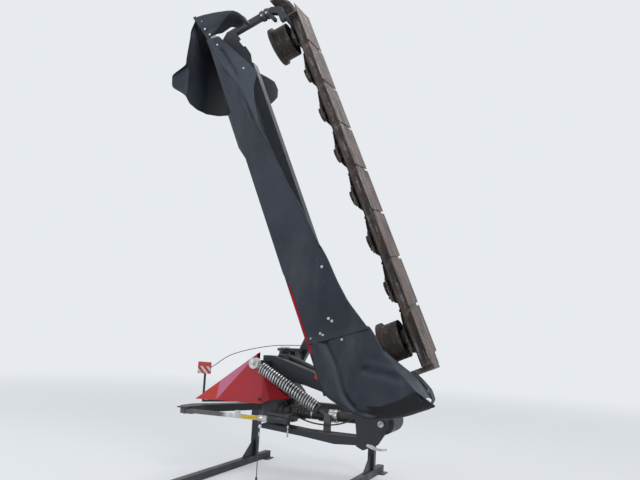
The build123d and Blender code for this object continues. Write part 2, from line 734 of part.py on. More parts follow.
# Drive shaft guard between the two gearboxes
PIVOT_BOX_LEFT = PIVOT_X - 150
GUARD_LEFT = GEARBOX_RIGHT + SEAT
GUARD_RIGHT = PIVOT_BOX_LEFT - SEAT
with BuildPart() as drive_shaft_guard:
    with BuildSketch(rear_view(SHAFT_Y)):
        with BuildLine():
            Polyline(
                (GUARD_LEFT, SHAFT_Z),
                (GUARD_LEFT, SHAFT_Z + GUARD_BELL_R),
                (GUARD_LEFT + GUARD_BELL, SHAFT_Z + GUARD_BELL_R),
                (GUARD_LEFT + GUARD_BELL, SHAFT_Z + GUARD_TUBE_R),
                (GUARD_RING, SHAFT_Z + GUARD_TUBE_R),
                (GUARD_RING, SHAFT_Z + GUARD_TUBE_R + GUARD_RIDGE),
                (GUARD_RING + GUARD_RING_WIDTH, SHAFT_Z + GUARD_TUBE_R + GUARD_RIDGE),
                (GUARD_RING + GUARD_RING_WIDTH, SHAFT_Z + GUARD_TUBE_R),
                (GUARD_RIGHT - GUARD_BELL, SHAFT_Z + GUARD_TUBE_R),
                (GUARD_RIGHT - GUARD_BELL, SHAFT_Z + GUARD_BELL_R),
                (GUARD_RIGHT, SHAFT_Z + GUARD_BELL_R),
                (GUARD_RIGHT, SHAFT_Z),
                close=True,
            )
        make_face()
    revolve(axis=Axis((0, SHAFT_Y, SHAFT_Z), (1, 0, 0)))
save(drive_shaft_guard, "drive_shaft_guard")

with BuildPart() as pivot_gearbox:
    with BuildSketch(Plane.XY.offset(PIVOT_Z)):
        with BuildLine():
            Polyline(
                (PIVOT_X, PIVOT_BOX_FRONT),
                (PIVOT_X + PIVOT_CAP_R, PIVOT_BOX_FRONT),
                (PIVOT_X + PIVOT_CAP_R, PIVOT_BOX_FRONT - 14),
                (PIVOT_X + PIVOT_BOX_R, PIVOT_BOX_FRONT - 14),
                (PIVOT_X + PIVOT_BOX_R, PIVOT_BOX_BACK + 14),
                (PIVOT_X + PIVOT_CAP_R, PIVOT_BOX_BACK + 14),
                (PIVOT_X + PIVOT_CAP_R, PIVOT_BOX_BACK),
                (PIVOT_X, PIVOT_BOX_BACK),
                close=True,
            )
        make_face()
    revolve(axis=Axis((PIVOT_X, 0, PIVOT_Z), (0, 1, 0)))
    with BuildSketch(Plane.YZ.offset(PIVOT_BOX_LEFT)):
        with Locations((SHAFT_Y, SHAFT_Z)):
            Circle(60)
    extrude(amount=120)
    with BuildSketch(rear_view(PIVOT_BOX_FRONT - 4 * BOX_WALL)):
        with Locations((PIVOT_X, PIVOT_Z)):
            Circle(PIVOT_BOX_R - 2 * BOX_WALL)
    extrude(amount=PIVOT_BOX_FRONT - PIVOT_BOX_BACK - 8 * BOX_WALL, mode=Mode.SUBTRACT)
save(pivot_gearbox, "pivot_gearbox")

# Lower brace from the gearbox to the rear ear
with BuildPart() as lower_brace:
    with BuildSketch(rear_view(-865)):
        with BuildLine():
            Polyline(
                (GEARBOX_RIGHT - 22, -94),
                (300, -118),
                (741.7, -122),
                (741.7, -182),
                (560, -192),
                (280, -160),
                (GEARBOX_LEFT + 60, -130),
                (GEARBOX_LEFT + 60, -95.3),
                (GEARBOX_RIGHT - 22, -95.3),
                close=True,
            )
        make_face()
    extrude(amount=-865 - REAR_EAR_Y + EAR)
    with BuildSketch(rear_view(-865 - BOX_WALL)):
        with BuildLine():
            Polyline(
                (GEARBOX_RIGHT, -106),
                (300, -128),
                (730, -131),
                (730, -172),
                (560, -182),
                (280, -151),
                (GEARBOX_LEFT + 70, -122),
                close=True,
            )
        make_face()
    extrude(amount=-865 - REAR_EAR_Y + EAR - 2 * BOX_WALL, mode=Mode.SUBTRACT)
save(lower_brace, "lower_brace")

# Coil spring with its end fittings
SPRING_DX = SPRING_END[0] - SPRING_TOP[0]
SPRING_DZ = SPRING_END[1] - SPRING_TOP[1]
SPRING_SPAN = hypot(SPRING_DX, SPRING_DZ)
SPRING_DIR = Vector(SPRING_DX / SPRING_SPAN, 0, SPRING_DZ / SPRING_SPAN)
SPRING_START = 62
SPRING_LENGTH = SPRING_SPAN - 110
SPRING_BASE = Vector(SPRING_TOP[0], SPRING_Y, SPRING_TOP[1])


def spring_plane(distance):
    """A plane square to the spring, at a distance down from its upper bolt."""
    return Plane(origin=SPRING_BASE + SPRING_DIR * distance, x_dir=(0, 1, 0), z_dir=SPRING_DIR)


SPRING_PITCH = SPRING_LENGTH / SPRING_TURNS
with BuildPart() as suspension_spring:
    for k in range(SPRING_TURNS):
        with BuildSketch(spring_plane(SPRING_START + k * SPRING_PITCH)):
            RegularPolygon(radius=SPRING_R, side_count=SPRING_SIDES)
        extrude(amount=SPRING_PITCH * 0.62)
    with BuildSketch(spring_plane(SPRING_START)):
        RegularPolygon(radius=SPRING_R - SPRING_WIRE_R, side_count=SPRING_SIDES)
    extrude(amount=SPRING_LENGTH)
save(suspension_spring, "suspension_spring")

with BuildPart() as spring_mounts:
    with BuildSketch(rear_view(SPRING_Y + 20)):
        with Locations(SPRING_TOP):
            Circle(46)
    extrude(amount=60)
    with BuildSketch(spring_plane(20)):
        Rectangle(40, 40)
    extrude(amount=SPRING_START - 20 - SEAT)
    with BuildSketch(spring_plane(SPRING_START + SPRING_LENGTH + SEAT)):
        Circle(SPRING_R - 6)
    extrude(amount=16)
    with BuildSketch(spring_plane(SPRING_START + SPRING_LENGTH + 12)):
        Circle(13)
    extrude(amount=110)
    with BuildSketch(rear_view(SPRING_Y)):
        with BuildLine():
            Polyline((430, -118.88), (490, -119.42), (486, 10), (446, 32), (430, 20), close=True)
        make_face()
    extrude(amount=20)
save(spring_mounts, "spring_mounts")

# Lift cylinder, drawn along the line from its anchor to the lug on the mowing unit
LUG_X = PIVOT_X + LIFT_LUG[0] * cos(FOLD) - LIFT_LUG[1] * sin(FOLD)
LUG_Z = PIVOT_Z + LIFT_LUG[0] * sin(FOLD) + LIFT_LUG[1] * cos(FOLD)
LIFT_SPAN = hypot(LUG_X - LIFT_ANCHOR[0], LUG_Z - LIFT_ANCHOR[1])
LIFT_DIR = Vector((LUG_X - LIFT_ANCHOR[0]) / LIFT_SPAN, 0, (LUG_Z - LIFT_ANCHOR[1]) / LIFT_SPAN)
LIFT_BASE = Vector(LIFT_ANCHOR[0], LIFT_Y, LIFT_ANCHOR[1])
LIFT_EYE_HALF = 15
LIFT_BORE_START = 60
LIFT_ROD_STANDOFF = 38.9
LIFT_ROD_LENGTH = LIFT_SPAN - LIFT_BORE_START - LIFT_ROD_STANDOFF


def lift_plane(distance):
    """A plane square to the lift cylinder, at a distance from its anchor."""
    return Plane(origin=LIFT_BASE + LIFT_DIR * distance, x_dir=(0, 1, 0), z_dir=LIFT_DIR)


with BuildPart() as lift_barrel:
    with BuildSketch(rear_view(LIFT_Y + LIFT_EYE_HALF)):
        with Locations(LIFT_ANCHOR):
            Circle(LIFT_PIN_R + 16)
    extrude(amount=2 * LIFT_EYE_HALF)
    with BuildSketch(lift_plane(26)):
        Circle(LIFT_BARREL_R)
    extrude(amount=LIFT_BARREL_LENGTH - 26)
    with BuildSketch(lift_plane(LIFT_BORE_START)):
        Circle(LIFT_ROD_R + RUNNING_GAP)
    extrude(amount=LIFT_BARREL_LENGTH, mode=Mode.SUBTRACT)
    with Locations(rear_view(LIFT_Y + 40)):
        with Locations(LIFT_ANCHOR):
            Hole(radius=LIFT_PIN_R + RUNNING_GAP, depth=80)
save(lift_barrel, "lift_barrel")

with BuildPart() as lift_rod:
    with BuildSketch(lift_plane(LIFT_SPAN - LIFT_ROD_LENGTH)):
        Circle(LIFT_ROD_R)
    extrude(amount=LIFT_ROD_LENGTH - 50)
    with BuildSketch(lift_plane(LIFT_SPAN - 50)):
        Circle(LIFT_EYE_HALF - 1)
    extrude(amount=30)
    with BuildSketch(rear_view(LIFT_Y + LIFT_EYE_HALF)):
        with Locations((LUG_X, LUG_Z)):
            Circle(30)
    extrude(amount=2 * LIFT_EYE_HALF)
    with Locations(rear_view(LIFT_Y + 40)):
        with Locations((LUG_X, LUG_Z)):
            Hole(radius=LIFT_PIN_R, depth=80)
save(lift_rod, "lift_rod")

with BuildPart() as lift_pin:
    with BuildSketch(rear_view(LIFT_Y + LIFT_EYE_HALF + 12)):
        with Locations(LIFT_ANCHOR):
            Circle(LIFT_PIN_R)
    extrude(amount=12 + LIFT_EYE_HALF + LIFT_BARREL_R + SIDE_GAP - SEAT)
save(lift_pin, "lift_pin")

# Heights of the canopy's members
BEAM_UNDER = CANOPY_BEAM_UP - CANOPY_BEAM_SIZE / 2
BEAM_OVER = CANOPY_BEAM_UP + CANOPY_BEAM_SIZE / 2
RAIL_UNDER = RAIL_UP - RAIL_SIZE / 2
RAIL_OVER = RAIL_UP + RAIL_SIZE / 2
RIB_FIRST = CANOPY_START + 30
RIB_STEP = (CANOPY_END - RIB_FIRST - RIB_WIDTH) / (RIB_COUNT - 1)
RIB_FRONT = CANOPY_FRONT - RAIL_SIZE / 2 - SEAT
RIB_DEPTH = 20
RIB_REAR = CANOPY_REAR + RAIL_SIZE / 2 + SEAT
# Carrier of the mowing unit: ears on the fold pins, cross tube and lift lug
MOWER_FRONT_EAR = FRONT_EAR_Y + SIDE_GAP + EAR
MOWER_REAR_EAR = REAR_EAR_Y - EAR - SIDE_GAP
CROSS_START = 240
CROSS_SIZE = 80
CROSS_UP = 45
LUG_FACE = LIFT_Y - LIFT_EYE_HALF - SEAT
with BuildPart() as mower_carrier:
    for y, tip in ((MOWER_FRONT_EAR, (200, 205)), (MOWER_REAR_EAR, (200, CROSS_UP + CROSS_SIZE / 2))):
        with BuildSketch(unit_side(y)):
            Circle(58)
            with BuildLine():
                Polyline(
                    (-8, 57),
                    tip,
                    (CROSS_START + 22, tip[1]),
                    (CANOPY_START - 6, min(tip[1], RAIL_OVER - 4)),
                    (CROSS_START + CROSS_SIZE, CROSS_UP + CROSS_SIZE / 2),
                    (CROSS_START + CROSS_SIZE, CROSS_UP - CROSS_SIZE / 2 - 30),
                    (8, -57),
                    close=True,
                )
            make_face()
        extrude(amount=EAR)
    with BuildSketch(unit_side(LUG_FACE)):
        with Locations(LIFT_LUG):
            Circle(30)
    extrude(amount=LUG_FACE - MOWER_FRONT_EAR + 5)
    with BuildSketch(unit_side(MOWER_FRONT_EAR)):
        with Locations((CROSS_START + CROSS_SIZE / 2, CROSS_UP)):
            Rectangle(CROSS_SIZE, CROSS_SIZE)
    extrude(amount=MOWER_FRONT_EAR - CANOPY_BEAM_Y - CANOPY_BEAM_SIZE / 2)
    with Locations(unit_side(MOWER_FRONT_EAR + 40)):
        Hole(radius=FOLD_PIN_R, depth=MOWER_FRONT_EAR - MOWER_REAR_EAR + 120)
save(mower_carrier, "mower_carrier")

# Canopy frame: main beam, ribs and the two rails
with BuildPart() as canopy_beam:
    with BuildSketch(unit_cross(CROSS_START - 40)):
        with Locations((CANOPY_BEAM_Y, CANOPY_BEAM_UP)):
            Rectangle(CANOPY_BEAM_SIZE, CANOPY_BEAM_SIZE)
            Rectangle(CANOPY_BEAM_SIZE - 12, CANOPY_BEAM_SIZE - 12, mode=Mode.SUBTRACT)
    extrude(amount=CANOPY_END - CROSS_START + 40)
save(canopy_beam, "canopy_beam")

with BuildPart() as canopy_ribs:
    for k in range(RIB_COUNT):
        with BuildSketch(unit_side(RIB_FRONT)):
            with Locations((RIB_FIRST + RIB_WIDTH / 2 + k * RIB_STEP, RAIL_UP)):
                Rectangle(RIB_WIDTH, RIB_DEPTH)
                Rectangle(RIB_WIDTH - 2 * SHEET_WALL, RIB_DEPTH - 2 * SHEET_WALL, mode=Mode.SUBTRACT)
        extrude(amount=RIB_FRONT - RIB_REAR)
        with BuildSketch(unit_top(BEAM_OVER + SEAT)):
            with Locations((RIB_FIRST + RIB_WIDTH / 2 + k * RIB_STEP, CANOPY_BEAM_Y)):
                Rectangle(RIB_WIDTH, CANOPY_BEAM_SIZE)
        extrude(amount=RAIL_UP - RIB_DEPTH / 2 - BEAM_OVER - SEAT + 1)
save(canopy_ribs, "canopy_ribs")

FRONT_RAIL_START = CROSS_START + CROSS_SIZE + SEAT
with BuildPart() as front_rail:
    with BuildSketch(unit_cross(FRONT_RAIL_START)):
        with Locations((CANOPY_FRONT, RAIL_UP)):
            Rectangle(RAIL_SIZE, RAIL_SIZE)
            Rectangle(RAIL_SIZE - 2 * SHEET_WALL, RAIL_SIZE - 2 * SHEET_WALL, mode=Mode.SUBTRACT)
    extrude(amount=CANOPY_END - FRONT_RAIL_START)
save(front_rail, "front_rail")

with BuildPart() as rear_rail:
    with BuildSketch(unit_cross(CANOPY_START)):
        with Locations((CANOPY_REAR, RAIL_UP)):
            Rectangle(RAIL_SIZE, RAIL_SIZE)
            Rectangle(RAIL_SIZE - 2 * SHEET_WALL, RAIL_SIZE - 2 * SHEET_WALL, mode=Mode.SUBTRACT)
    extrude(amount=CANOPY_END - CANOPY_START)
save(rear_rail, "rear_rail")

# Drive cover and head gearbox over the first disc
NECK_UP = -45
NECK_START = 430
with BuildPart() as head_gearbox:
    with BuildSketch(unit_top(DRUM_TOP + 17)):
        with Locations((DISC_FIRST, DISC_Y)):
            Circle(100)
    extrude(amount=BEAM_UNDER - SEAT - DRUM_TOP - 17)
    with BuildSketch(unit_top(DRUM_TOP + 17 + 2 * BOX_WALL)):
        with Locations((DISC_FIRST, DISC_Y)):
            Circle(100 - 2 * BOX_WALL)
    extrude(amount=BEAM_UNDER - SEAT - DRUM_TOP - 17 - 4 * BOX_WALL, mode=Mode.SUBTRACT)
    with BuildSketch(unit_top(NECK_UP - 65)):
        with Locations((DISC_FIRST, (SHAFT_Y + DISC_Y) / 2)):
            Rectangle(140, DISC_Y * -1 + SHAFT_Y)
    extrude(amount=80)
    with BuildSketch(unit_cross(NECK_START)):
        with Locations((SHAFT_Y, NECK_UP)):
            RectangleRounded(130, 130, 25)
    extrude(amount=190)
save(head_gearbox, "head_gearbox")

BELLOWS_START = 98
BELLOWS_R = 38
BELLOWS_RIDGE = 8
BELLOWS_FOLDS = 4
BELLOWS_PITCH = 28
BELLOWS_SIDES = 20
with BuildPart() as unit_shaft_guard:
    with BuildSketch(unit_cross(BELLOWS_START)):
        with Locations((SHAFT_Y, NECK_UP)):
            RegularPolygon(radius=BELLOWS_R, side_count=BELLOWS_SIDES)
    extrude(amount=NECK_START - SEAT - BELLOWS_START)
    for k in range(BELLOWS_FOLDS):
        with BuildSketch(unit_cross(BELLOWS_START + k * BELLOWS_PITCH)):
            with Locations((SHAFT_Y, NECK_UP)):
                RegularPolygon(radius=BELLOWS_R + BELLOWS_RIDGE, side_count=BELLOWS_SIDES)
        extrude(amount=BELLOWS_PITCH / 2)
save(unit_shaft_guard, "unit_shaft_guard")

# Bracket that hangs the inner end of the cutter bar from the canopy beam
BRACKET_START = 250
with BuildPart() as bar_bracket:
    with BuildSketch(unit_top(BAR_BOTTOM)):
        with Locations(((BRACKET_START + BAR_START) / 2 - SEAT / 2, -1155)):
            Rectangle(BAR_START - BRACKET_START - SEAT, 190)
    extrude(amount=BEAM_UNDER - SEAT - BAR_BOTTOM)
save(bar_bracket, "bar_bracket")

# Cutter bar with a bearing housing under every disc
HOUSING_R = 62
with BuildPart() as cutter_bar:
    with BuildSketch(unit_cross(BAR_START)):
        with BuildLine():
            Polyline(
                (BAR_REAR, BAR_TOP - 12),
                (BAR_REAR + 12, BAR_TOP),
                (BAR_FRONT - 70, BAR_TOP),
                (BAR_FRONT, BAR_TOP - 40),
                (BAR_FRONT - 6, BAR_BOTTOM + 18),
                (BAR_FRONT - 40, BAR_BOTTOM),
                (BAR_REAR, BAR_BOTTOM),
                close=True,
            )
        make_face()
    extrude(amount=BAR_END - BAR_START)
    with BuildSketch(unit_cross(BAR_START + BAR_WALL)):
        with BuildLine():
            Polyline(
                (BAR_REAR + BAR_WALL, BAR_TOP - BAR_WALL),
                (BAR_FRONT - 72, BAR_TOP - BAR_WALL),
                (BAR_FRONT - BAR_WALL, BAR_TOP - 45),
                (BAR_FRONT - 6 - BAR_WALL, BAR_BOTTOM + 18),
                (BAR_FRONT - 44, BAR_BOTTOM + BAR_WALL),
                (BAR_REAR + BAR_WALL, BAR_BOTTOM + BAR_WALL),
                close=True,
            )
        make_face()
    extrude(amount=BAR_END - BAR_START - 2 * BAR_WALL, mode=Mode.SUBTRACT)
    for k in range(DISC_COUNT):
        with BuildSketch(unit_top(BAR_TOP - 5)):
            with Locations((DISC_FIRST + k * DISC_PITCH, DISC_Y)):
                Circle(HOUSING_R)
        extrude(amount=DISC_BOTTOM - SEAT - BAR_TOP + 5)
save(cutter_bar, "cutter_bar")

# Skids under the bar, one to a disc, and the outer shoe
with BuildPart() as skids:
    for k in range(DISC_COUNT):
        start = DISC_FIRST - DISC_PITCH / 2 + k * DISC_PITCH + SKID_GAP / 2
        width = DISC_PITCH - SKID_GAP
        with BuildSketch(unit_top(BAR_BOTTOM - SEAT)):
            with BuildLine():
                Polyline(
                    (start - 30, SKID_REAR),
                    (start + width - 30, SKID_REAR),
                    (start + width + 30, BAR_FRONT + 20),
                    (start + 30, BAR_FRONT + 20),
                    close=True,
                )
            make_face()
        extrude(amount=-SKID_PLATE)
save(skids, "skids")

with BuildPart() as outer_shoe:
    with BuildSketch(unit_side(BAR_FRONT + 20)):
        with BuildLine():
            Polyline(
                (BAR_END + SEAT, BAR_BOTTOM),
                (3450, BAR_BOTTOM),
                (3540, -562),
                (3602, -515),
                (3636, -462),
                (3650, -400),
                (3638, -400),
                (3624, -460),
                (3592, -507),
                (3534, -549),
                (3450, -572),
                (BAR_END + 12, -572),
                (BAR_END + 12, BAR_TOP),
                (BAR_END + SEAT, BAR_TOP),
                close=True,
            )
        make_face()
    extrude(amount=BAR_FRONT + 20 - SKID_REAR)
save(outer_shoe, "outer_shoe")

SUPPORT_Y = -1440
with BuildPart() as outer_support:
    with BuildSketch(unit_side(SUPPORT_Y + 25)):
        with BuildLine():
            Polyline(
                (BAR_END - 90, BAR_TOP + SEAT),
                (BAR_END + 30, BAR_TOP + SEAT),
                (BAR_END + 75, -420),
                (BAR_END + 75, 30),
                (BAR_END + 20, RAIL_OVER),
                (CANOPY_END + SEAT, RAIL_OVER),
                (CANOPY_END + SEAT, RAIL_UNDER),
                (BAR_END, RAIL_UNDER),
                (BAR_END + 25, 10),
                (BAR_END + 25, -400),
                (BAR_END - 10, -455),
                (BAR_END - 90, -455),
                close=True,
            )
        make_face()
    extrude(amount=50)
    with BuildSketch(unit_top(BAR_TOP + SEAT)):
        with Locations((BAR_END - 45, (-1230 + SUPPORT_Y) / 2)):
            Rectangle(90, SUPPORT_Y * -1 - 1230 + 50)
    extrude(amount=14)
save(outer_support, "outer_support")

# Discs: rounded triangles with a stepped hub and three knives, each turned to the next disc's flat side
SHARP_R = DISC_CORNER_R + DISC_FILLET
HUB_FOOT_R = 96
HUB_TOP_R = 62
HUB_STEP = DISC_BOTTOM + 24
for k in range(DISC_COUNT):
    along = DISC_FIRST + k * DISC_PITCH
    with BuildPart() as disc:
        with BuildSketch(unit_top(DISC_BOTTOM)) as disc_outline:
            with Locations((along, DISC_Y)):
                RegularPolygon(radius=SHARP_R, side_count=3)
            fillet(disc_outline.vertices(), DISC_FILLET)
        extrude(amount=DISC_RIM)
        for radius, top in ((HUB_FOOT_R, HUB_STEP), (HUB_TOP_R, DISC_HUB_TOP)):
            with BuildSketch(unit_top(DISC_BOTTOM)):
                with Locations((along, DISC_Y)):
                    Circle(radius)
            extrude(amount=top - DISC_BOTTOM)
        with BuildSketch(unit_top(DISC_BOTTOM - KNIFE_THICK)):
            with Locations((along, DISC_Y)):
                with PolarLocations((KNIFE_ROOT_R + KNIFE_TIP_R) / 2, 3):
                    Rectangle(KNIFE_TIP_R - KNIFE_ROOT_R, KNIFE_WIDTH)
        extrude(amount=KNIFE_THICK)
    save(disc, f"disc_{k + 1}")

# Drums on the first and last discs
DRUM_BASE = DISC_HUB_TOP + SEAT
DRUM_POST_R = 40
DRUM_RIM = 34
for name, k in (("drum_inner", 0), ("drum_outer", DISC_COUNT - 1)):
    along = DISC_FIRST + k * DISC_PITCH
    with BuildPart() as drum:
        with BuildSketch(unit_side(DISC_Y)):
            with BuildLine():
                Polyline(
                    (along, DRUM_BASE),
                    (along + DRUM_POST_R, DRUM_BASE),
                    (along + DRUM_POST_R, DRUM_TOP - DRUM_WALL),
                    (along + DRUM_BASE_R - DRUM_WALL, DRUM_TOP - DRUM_WALL),
                    (along + DRUM_BASE_R - DRUM_WALL, DRUM_BASE),
                    (along + DRUM_BASE_R, DRUM_BASE),
                    (along + DRUM_BASE_R, DRUM_TOP - DRUM_RIM),
                    (along + DRUM_TOP_R, DRUM_TOP - DRUM_RIM),
                    (along + DRUM_TOP_R, DRUM_TOP),
                    (along, DRUM_TOP),
                    close=True,
                )
            make_face()
        revolve(axis=Axis(on_unit(along, DISC_Y, 0), UP))
    save(drum, name)

# Curtains: closed thin sheets that hang from the canopy
with BuildPart() as top_cloth:
    with BuildSketch(unit_cross(CANOPY_START)):
        with BuildLine():
            Polyline(
                (CANOPY_FRONT + 12, RAIL_OVER + SEAT),
                (CANOPY_BEAM_Y, RAIL_OVER + SEAT + TOP_CROWN - CLOTH),
                (CANOPY_REAR - 12, RAIL_OVER + SEAT),
                (CANOPY_REAR - 12, RAIL_OVER + SEAT + CLOTH),
                (CANOPY_BEAM_Y, RAIL_OVER + SEAT + TOP_CROWN),
                (CANOPY_FRONT + 12, RAIL_OVER + SEAT + CLOTH),
                close=True,
            )
        make_face()
    extrude(amount=CANOPY_END - CANOPY_START)
save(top_cloth, "top_cloth")

APRON_PATH = ((240, 42), (135, -50), (62, -157), (24, -268), (10, -400), (12, -572))
CURTAIN_EDGE = (
    (3290, 20),
    (2900, -160),
    (2600, -100),
    (2336, -86),
    (2058, -130),
    (1594, -202),
    (850, -290),
    (570, -390),
    (377, -416),
)
with BuildPart() as rear_curtain:
    with BuildSketch(unit_side(CANOPY_REAR - RAIL_SIZE / 2 - SEAT)):
        with BuildLine():
            Polyline(
                (CANOPY_START, CURTAIN_TOP),
                (CANOPY_END, CURTAIN_TOP),
                *CURTAIN_EDGE,
                *reversed(APRON_PATH),
                close=True,
            )
        make_face()
    extrude(amount=CLOTH)
save(rear_curtain, "rear_curtain")

with BuildPart() as front_curtain:
    with BuildSketch(unit_side(CANOPY_FRONT + RAIL_SIZE / 2 + SEAT + CLOTH)):
        with BuildLine():
            Polyline(
                (CANOPY_START + 40, CURTAIN_TOP),
                (CANOPY_END, CURTAIN_TOP),
                (CANOPY_END, FRONT_CURTAIN_LOW),
                (CANOPY_START + 40, FRONT_CURTAIN_LOW),
                close=True,
            )
        make_face()
    extrude(amount=CLOTH)
save(front_curtain, "front_curtain")

with BuildPart() as inner_apron:
    with BuildSketch(unit_side(-1205)):
        with BuildLine():
            Polyline(
                (CANOPY_START - SEAT, RAIL_UP + CLOTH),
                *APRON_PATH,
                *[(along + CLOTH, up) for along, up in reversed(APRON_PATH)],
                (CANOPY_START - SEAT, RAIL_UP),
                close=True,
            )
        make_face()
    extrude(amount=-1205 - CANOPY_REAR)
save(inner_apron, "inner_apron")

# Outer end: a bracket carries the rod that the flap hangs from, and a cloth hood covers the bracket
FLAP_REACH = 270
FLAP_ALONG = CANOPY_END + FLAP_REACH
FLAP_UP = 160
FLAP_ROD_R = 7
FLAP_FRONT = -420
FLAP_REAR = -1736
FLAP_END = 12
FLAP_SIDE = 2
FLAP_LENGTH = 672
FLAP_SHOULDER = 60
FLAP_EDGE = 200
FLAP_REAR_EDGE = -430
FLAP_LOW_Y = -1480
BRACKET_BAR = 26
BRACKET_FACE = CANOPY_END + SEAT
BRACKET_FRONT = CANOPY_FRONT + FLAP_END / 2
SLEEVE_FRONT = BRACKET_FRONT - FLAP_END - FLAP_SIDE
with BuildPart() as flap_bracket:
    for y in (BRACKET_FRONT, FLAP_REAR - FLAP_SIDE):
        with BuildSketch(unit_side(y)):
            with BuildLine():
                Polyline(
                    (BRACKET_FACE, RAIL_UP - BRACKET_BAR / 2),
                    (FLAP_ALONG + BRACKET_BAR / 2, FLAP_UP - BRACKET_BAR / 2),
                    (FLAP_ALONG + BRACKET_BAR / 2, FLAP_UP + BRACKET_BAR / 2),
                    (BRACKET_FACE, RAIL_UP + BRACKET_BAR / 2),
                    close=True,
                )
            make_face()
        extrude(amount=FLAP_END)
    with BuildSketch(unit_side(BRACKET_FRONT)):
        with Locations((FLAP_ALONG, FLAP_UP)):
            Circle(FLAP_ROD_R)
    extrude(amount=BRACKET_FRONT - FLAP_REAR + FLAP_SIDE + FLAP_END)
save(flap_bracket, "flap_bracket")

# Cloth hood between the bracket's plates, with a side of its own behind the rear plate
HOOD_UNDER = RAIL_OVER + 2 * SEAT
HOOD_TIP = FLAP_ALONG - FLAP_ROD_R - CLOTH - SIDE_GAP
HOOD_TIP_UNDER = FLAP_UP - FLAP_ROD_R - 2 * CLOTH - SIDE_GAP
HOOD_FRONT = BRACKET_FRONT - FLAP_END - SEAT
HOOD_REAR = FLAP_REAR - FLAP_SIDE + SEAT
HOOD_SIDE = HOOD_REAR - FLAP_END - 2 * SEAT
HOOD_ELBOW = 160
HOOD_BOW = 40
HOOD_TOE = 50
with BuildPart() as end_hood:
    with BuildSketch(unit_side(HOOD_FRONT)):
        with BuildLine():
            Polyline(
                (BRACKET_FACE, HOOD_UNDER),
                (HOOD_TIP, HOOD_TIP_UNDER),
                (HOOD_TIP, HOOD_TIP_UNDER + CLOTH),
                (BRACKET_FACE, HOOD_UNDER + CLOTH),
                close=True,
            )
        make_face()
    extrude(amount=HOOD_FRONT - HOOD_REAR)
    # The side has a round opening towards the curtain
    with BuildSketch(unit_side(HOOD_SIDE)):
        with BuildLine():
            Line((BRACKET_FACE, RAIL_OVER), (FLAP_ALONG, FLAP_UP))
            Line((FLAP_ALONG, FLAP_UP), (CANOPY_END + HOOD_ELBOW, -140))
            Line((CANOPY_END + HOOD_ELBOW, -140), (CANOPY_END - HOOD_TOE, -280))
            ThreePointArc(
                (CANOPY_END - HOOD_TOE, -280), (CANOPY_END + HOOD_BOW, -110), (BRACKET_FACE, RAIL_OVER)
            )
        make_face()
    extrude(amount=CLOTH)
save(end_hood, "end_hood")

# The flap hangs plumb while the machine is folded, and swings over to the outside for work
FLAP_HINGE = on_unit(FLAP_ALONG, 0, FLAP_UP)
with BuildPart() as outer_flap:
    with BuildSketch(Plane(origin=FLAP_HINGE - Vector(CLOTH / 2, 0, 0), x_dir=(0, 1, 0), z_dir=(1, 0, 0))):
        with BuildLine():
            Line((SLEEVE_FRONT, 0), (FLAP_REAR, 0))
            Line((FLAP_REAR, 0), (FLAP_REAR, FLAP_REAR_EDGE))
            ThreePointArc((FLAP_REAR, FLAP_REAR_EDGE), (FLAP_REAR + 78, -620), (FLAP_LOW_Y, -FLAP_LENGTH))
            ThreePointArc((FLAP_LOW_Y, -FLAP_LENGTH), (-960, -555), (FLAP_FRONT, -FLAP_EDGE))
            Line((FLAP_FRONT, -FLAP_EDGE), (FLAP_FRONT, -FLAP_SHOULDER))
            Line((FLAP_FRONT, -FLAP_SHOULDER), (SLEEVE_FRONT, -FLAP_SHOULDER))
            Line((SLEEVE_FRONT, -FLAP_SHOULDER), (SLEEVE_FRONT, 0))
        make_face()
    extrude(amount=CLOTH)
    with BuildSketch(unit_side(SLEEVE_FRONT)):
        with Locations((FLAP_ALONG, FLAP_UP)):
            Circle(FLAP_ROD_R + CLOTH)
    extrude(amount=SLEEVE_FRONT - FLAP_REAR)
    with Locations(unit_side(SLEEVE_FRONT + 20)):
        with Locations((FLAP_ALONG, FLAP_UP)):
            Hole(radius=FLAP_ROD_R + RUNNING_GAP, depth=SLEEVE_FRONT - FLAP_REAR + 40)
save(outer_flap, "outer_flap")

# Hose that sags behind the drive shaft guard, from the link's plate to the arm's cross tube
HOSE_R = 6
HOSE_Y = -965
HOSE_ROUTE = (
    (48, 4.8),
    (150, 4.8),
    (285, -50),
    (440, -66),
    (590, -44),
    (705, 12),
    (757, 80.6),
)


def corner_radii(points):
    """A radius for each corner of a route: 0.45 of its shorter run, over the tangent of half its turn."""
    radii = []
    for before, corner, after in zip(points, points[1:], points[2:]):
        into, out = corner - before, after - corner
        turn = radians(into.get_angle(out))
        radii.append(0.45 * min(into.length, out.length) / tan(turn / 2))
    print("radii", [round(value) for value in radii])
    return radii


HOSE_POINTS = [Vector(x, HOSE_Y, z) for x, z in HOSE_ROUTE]
with BuildPart() as slack_hose:
    with BuildLine() as hose_line:
        FilletPolyline(*HOSE_POINTS, radius=corner_radii(HOSE_POINTS))
    with BuildSketch(Plane(origin=hose_line.line @ 0, z_dir=hose_line.line % 0)):
        Circle(HOSE_R)
    sweep()
save(slack_hose, "slack_hose")

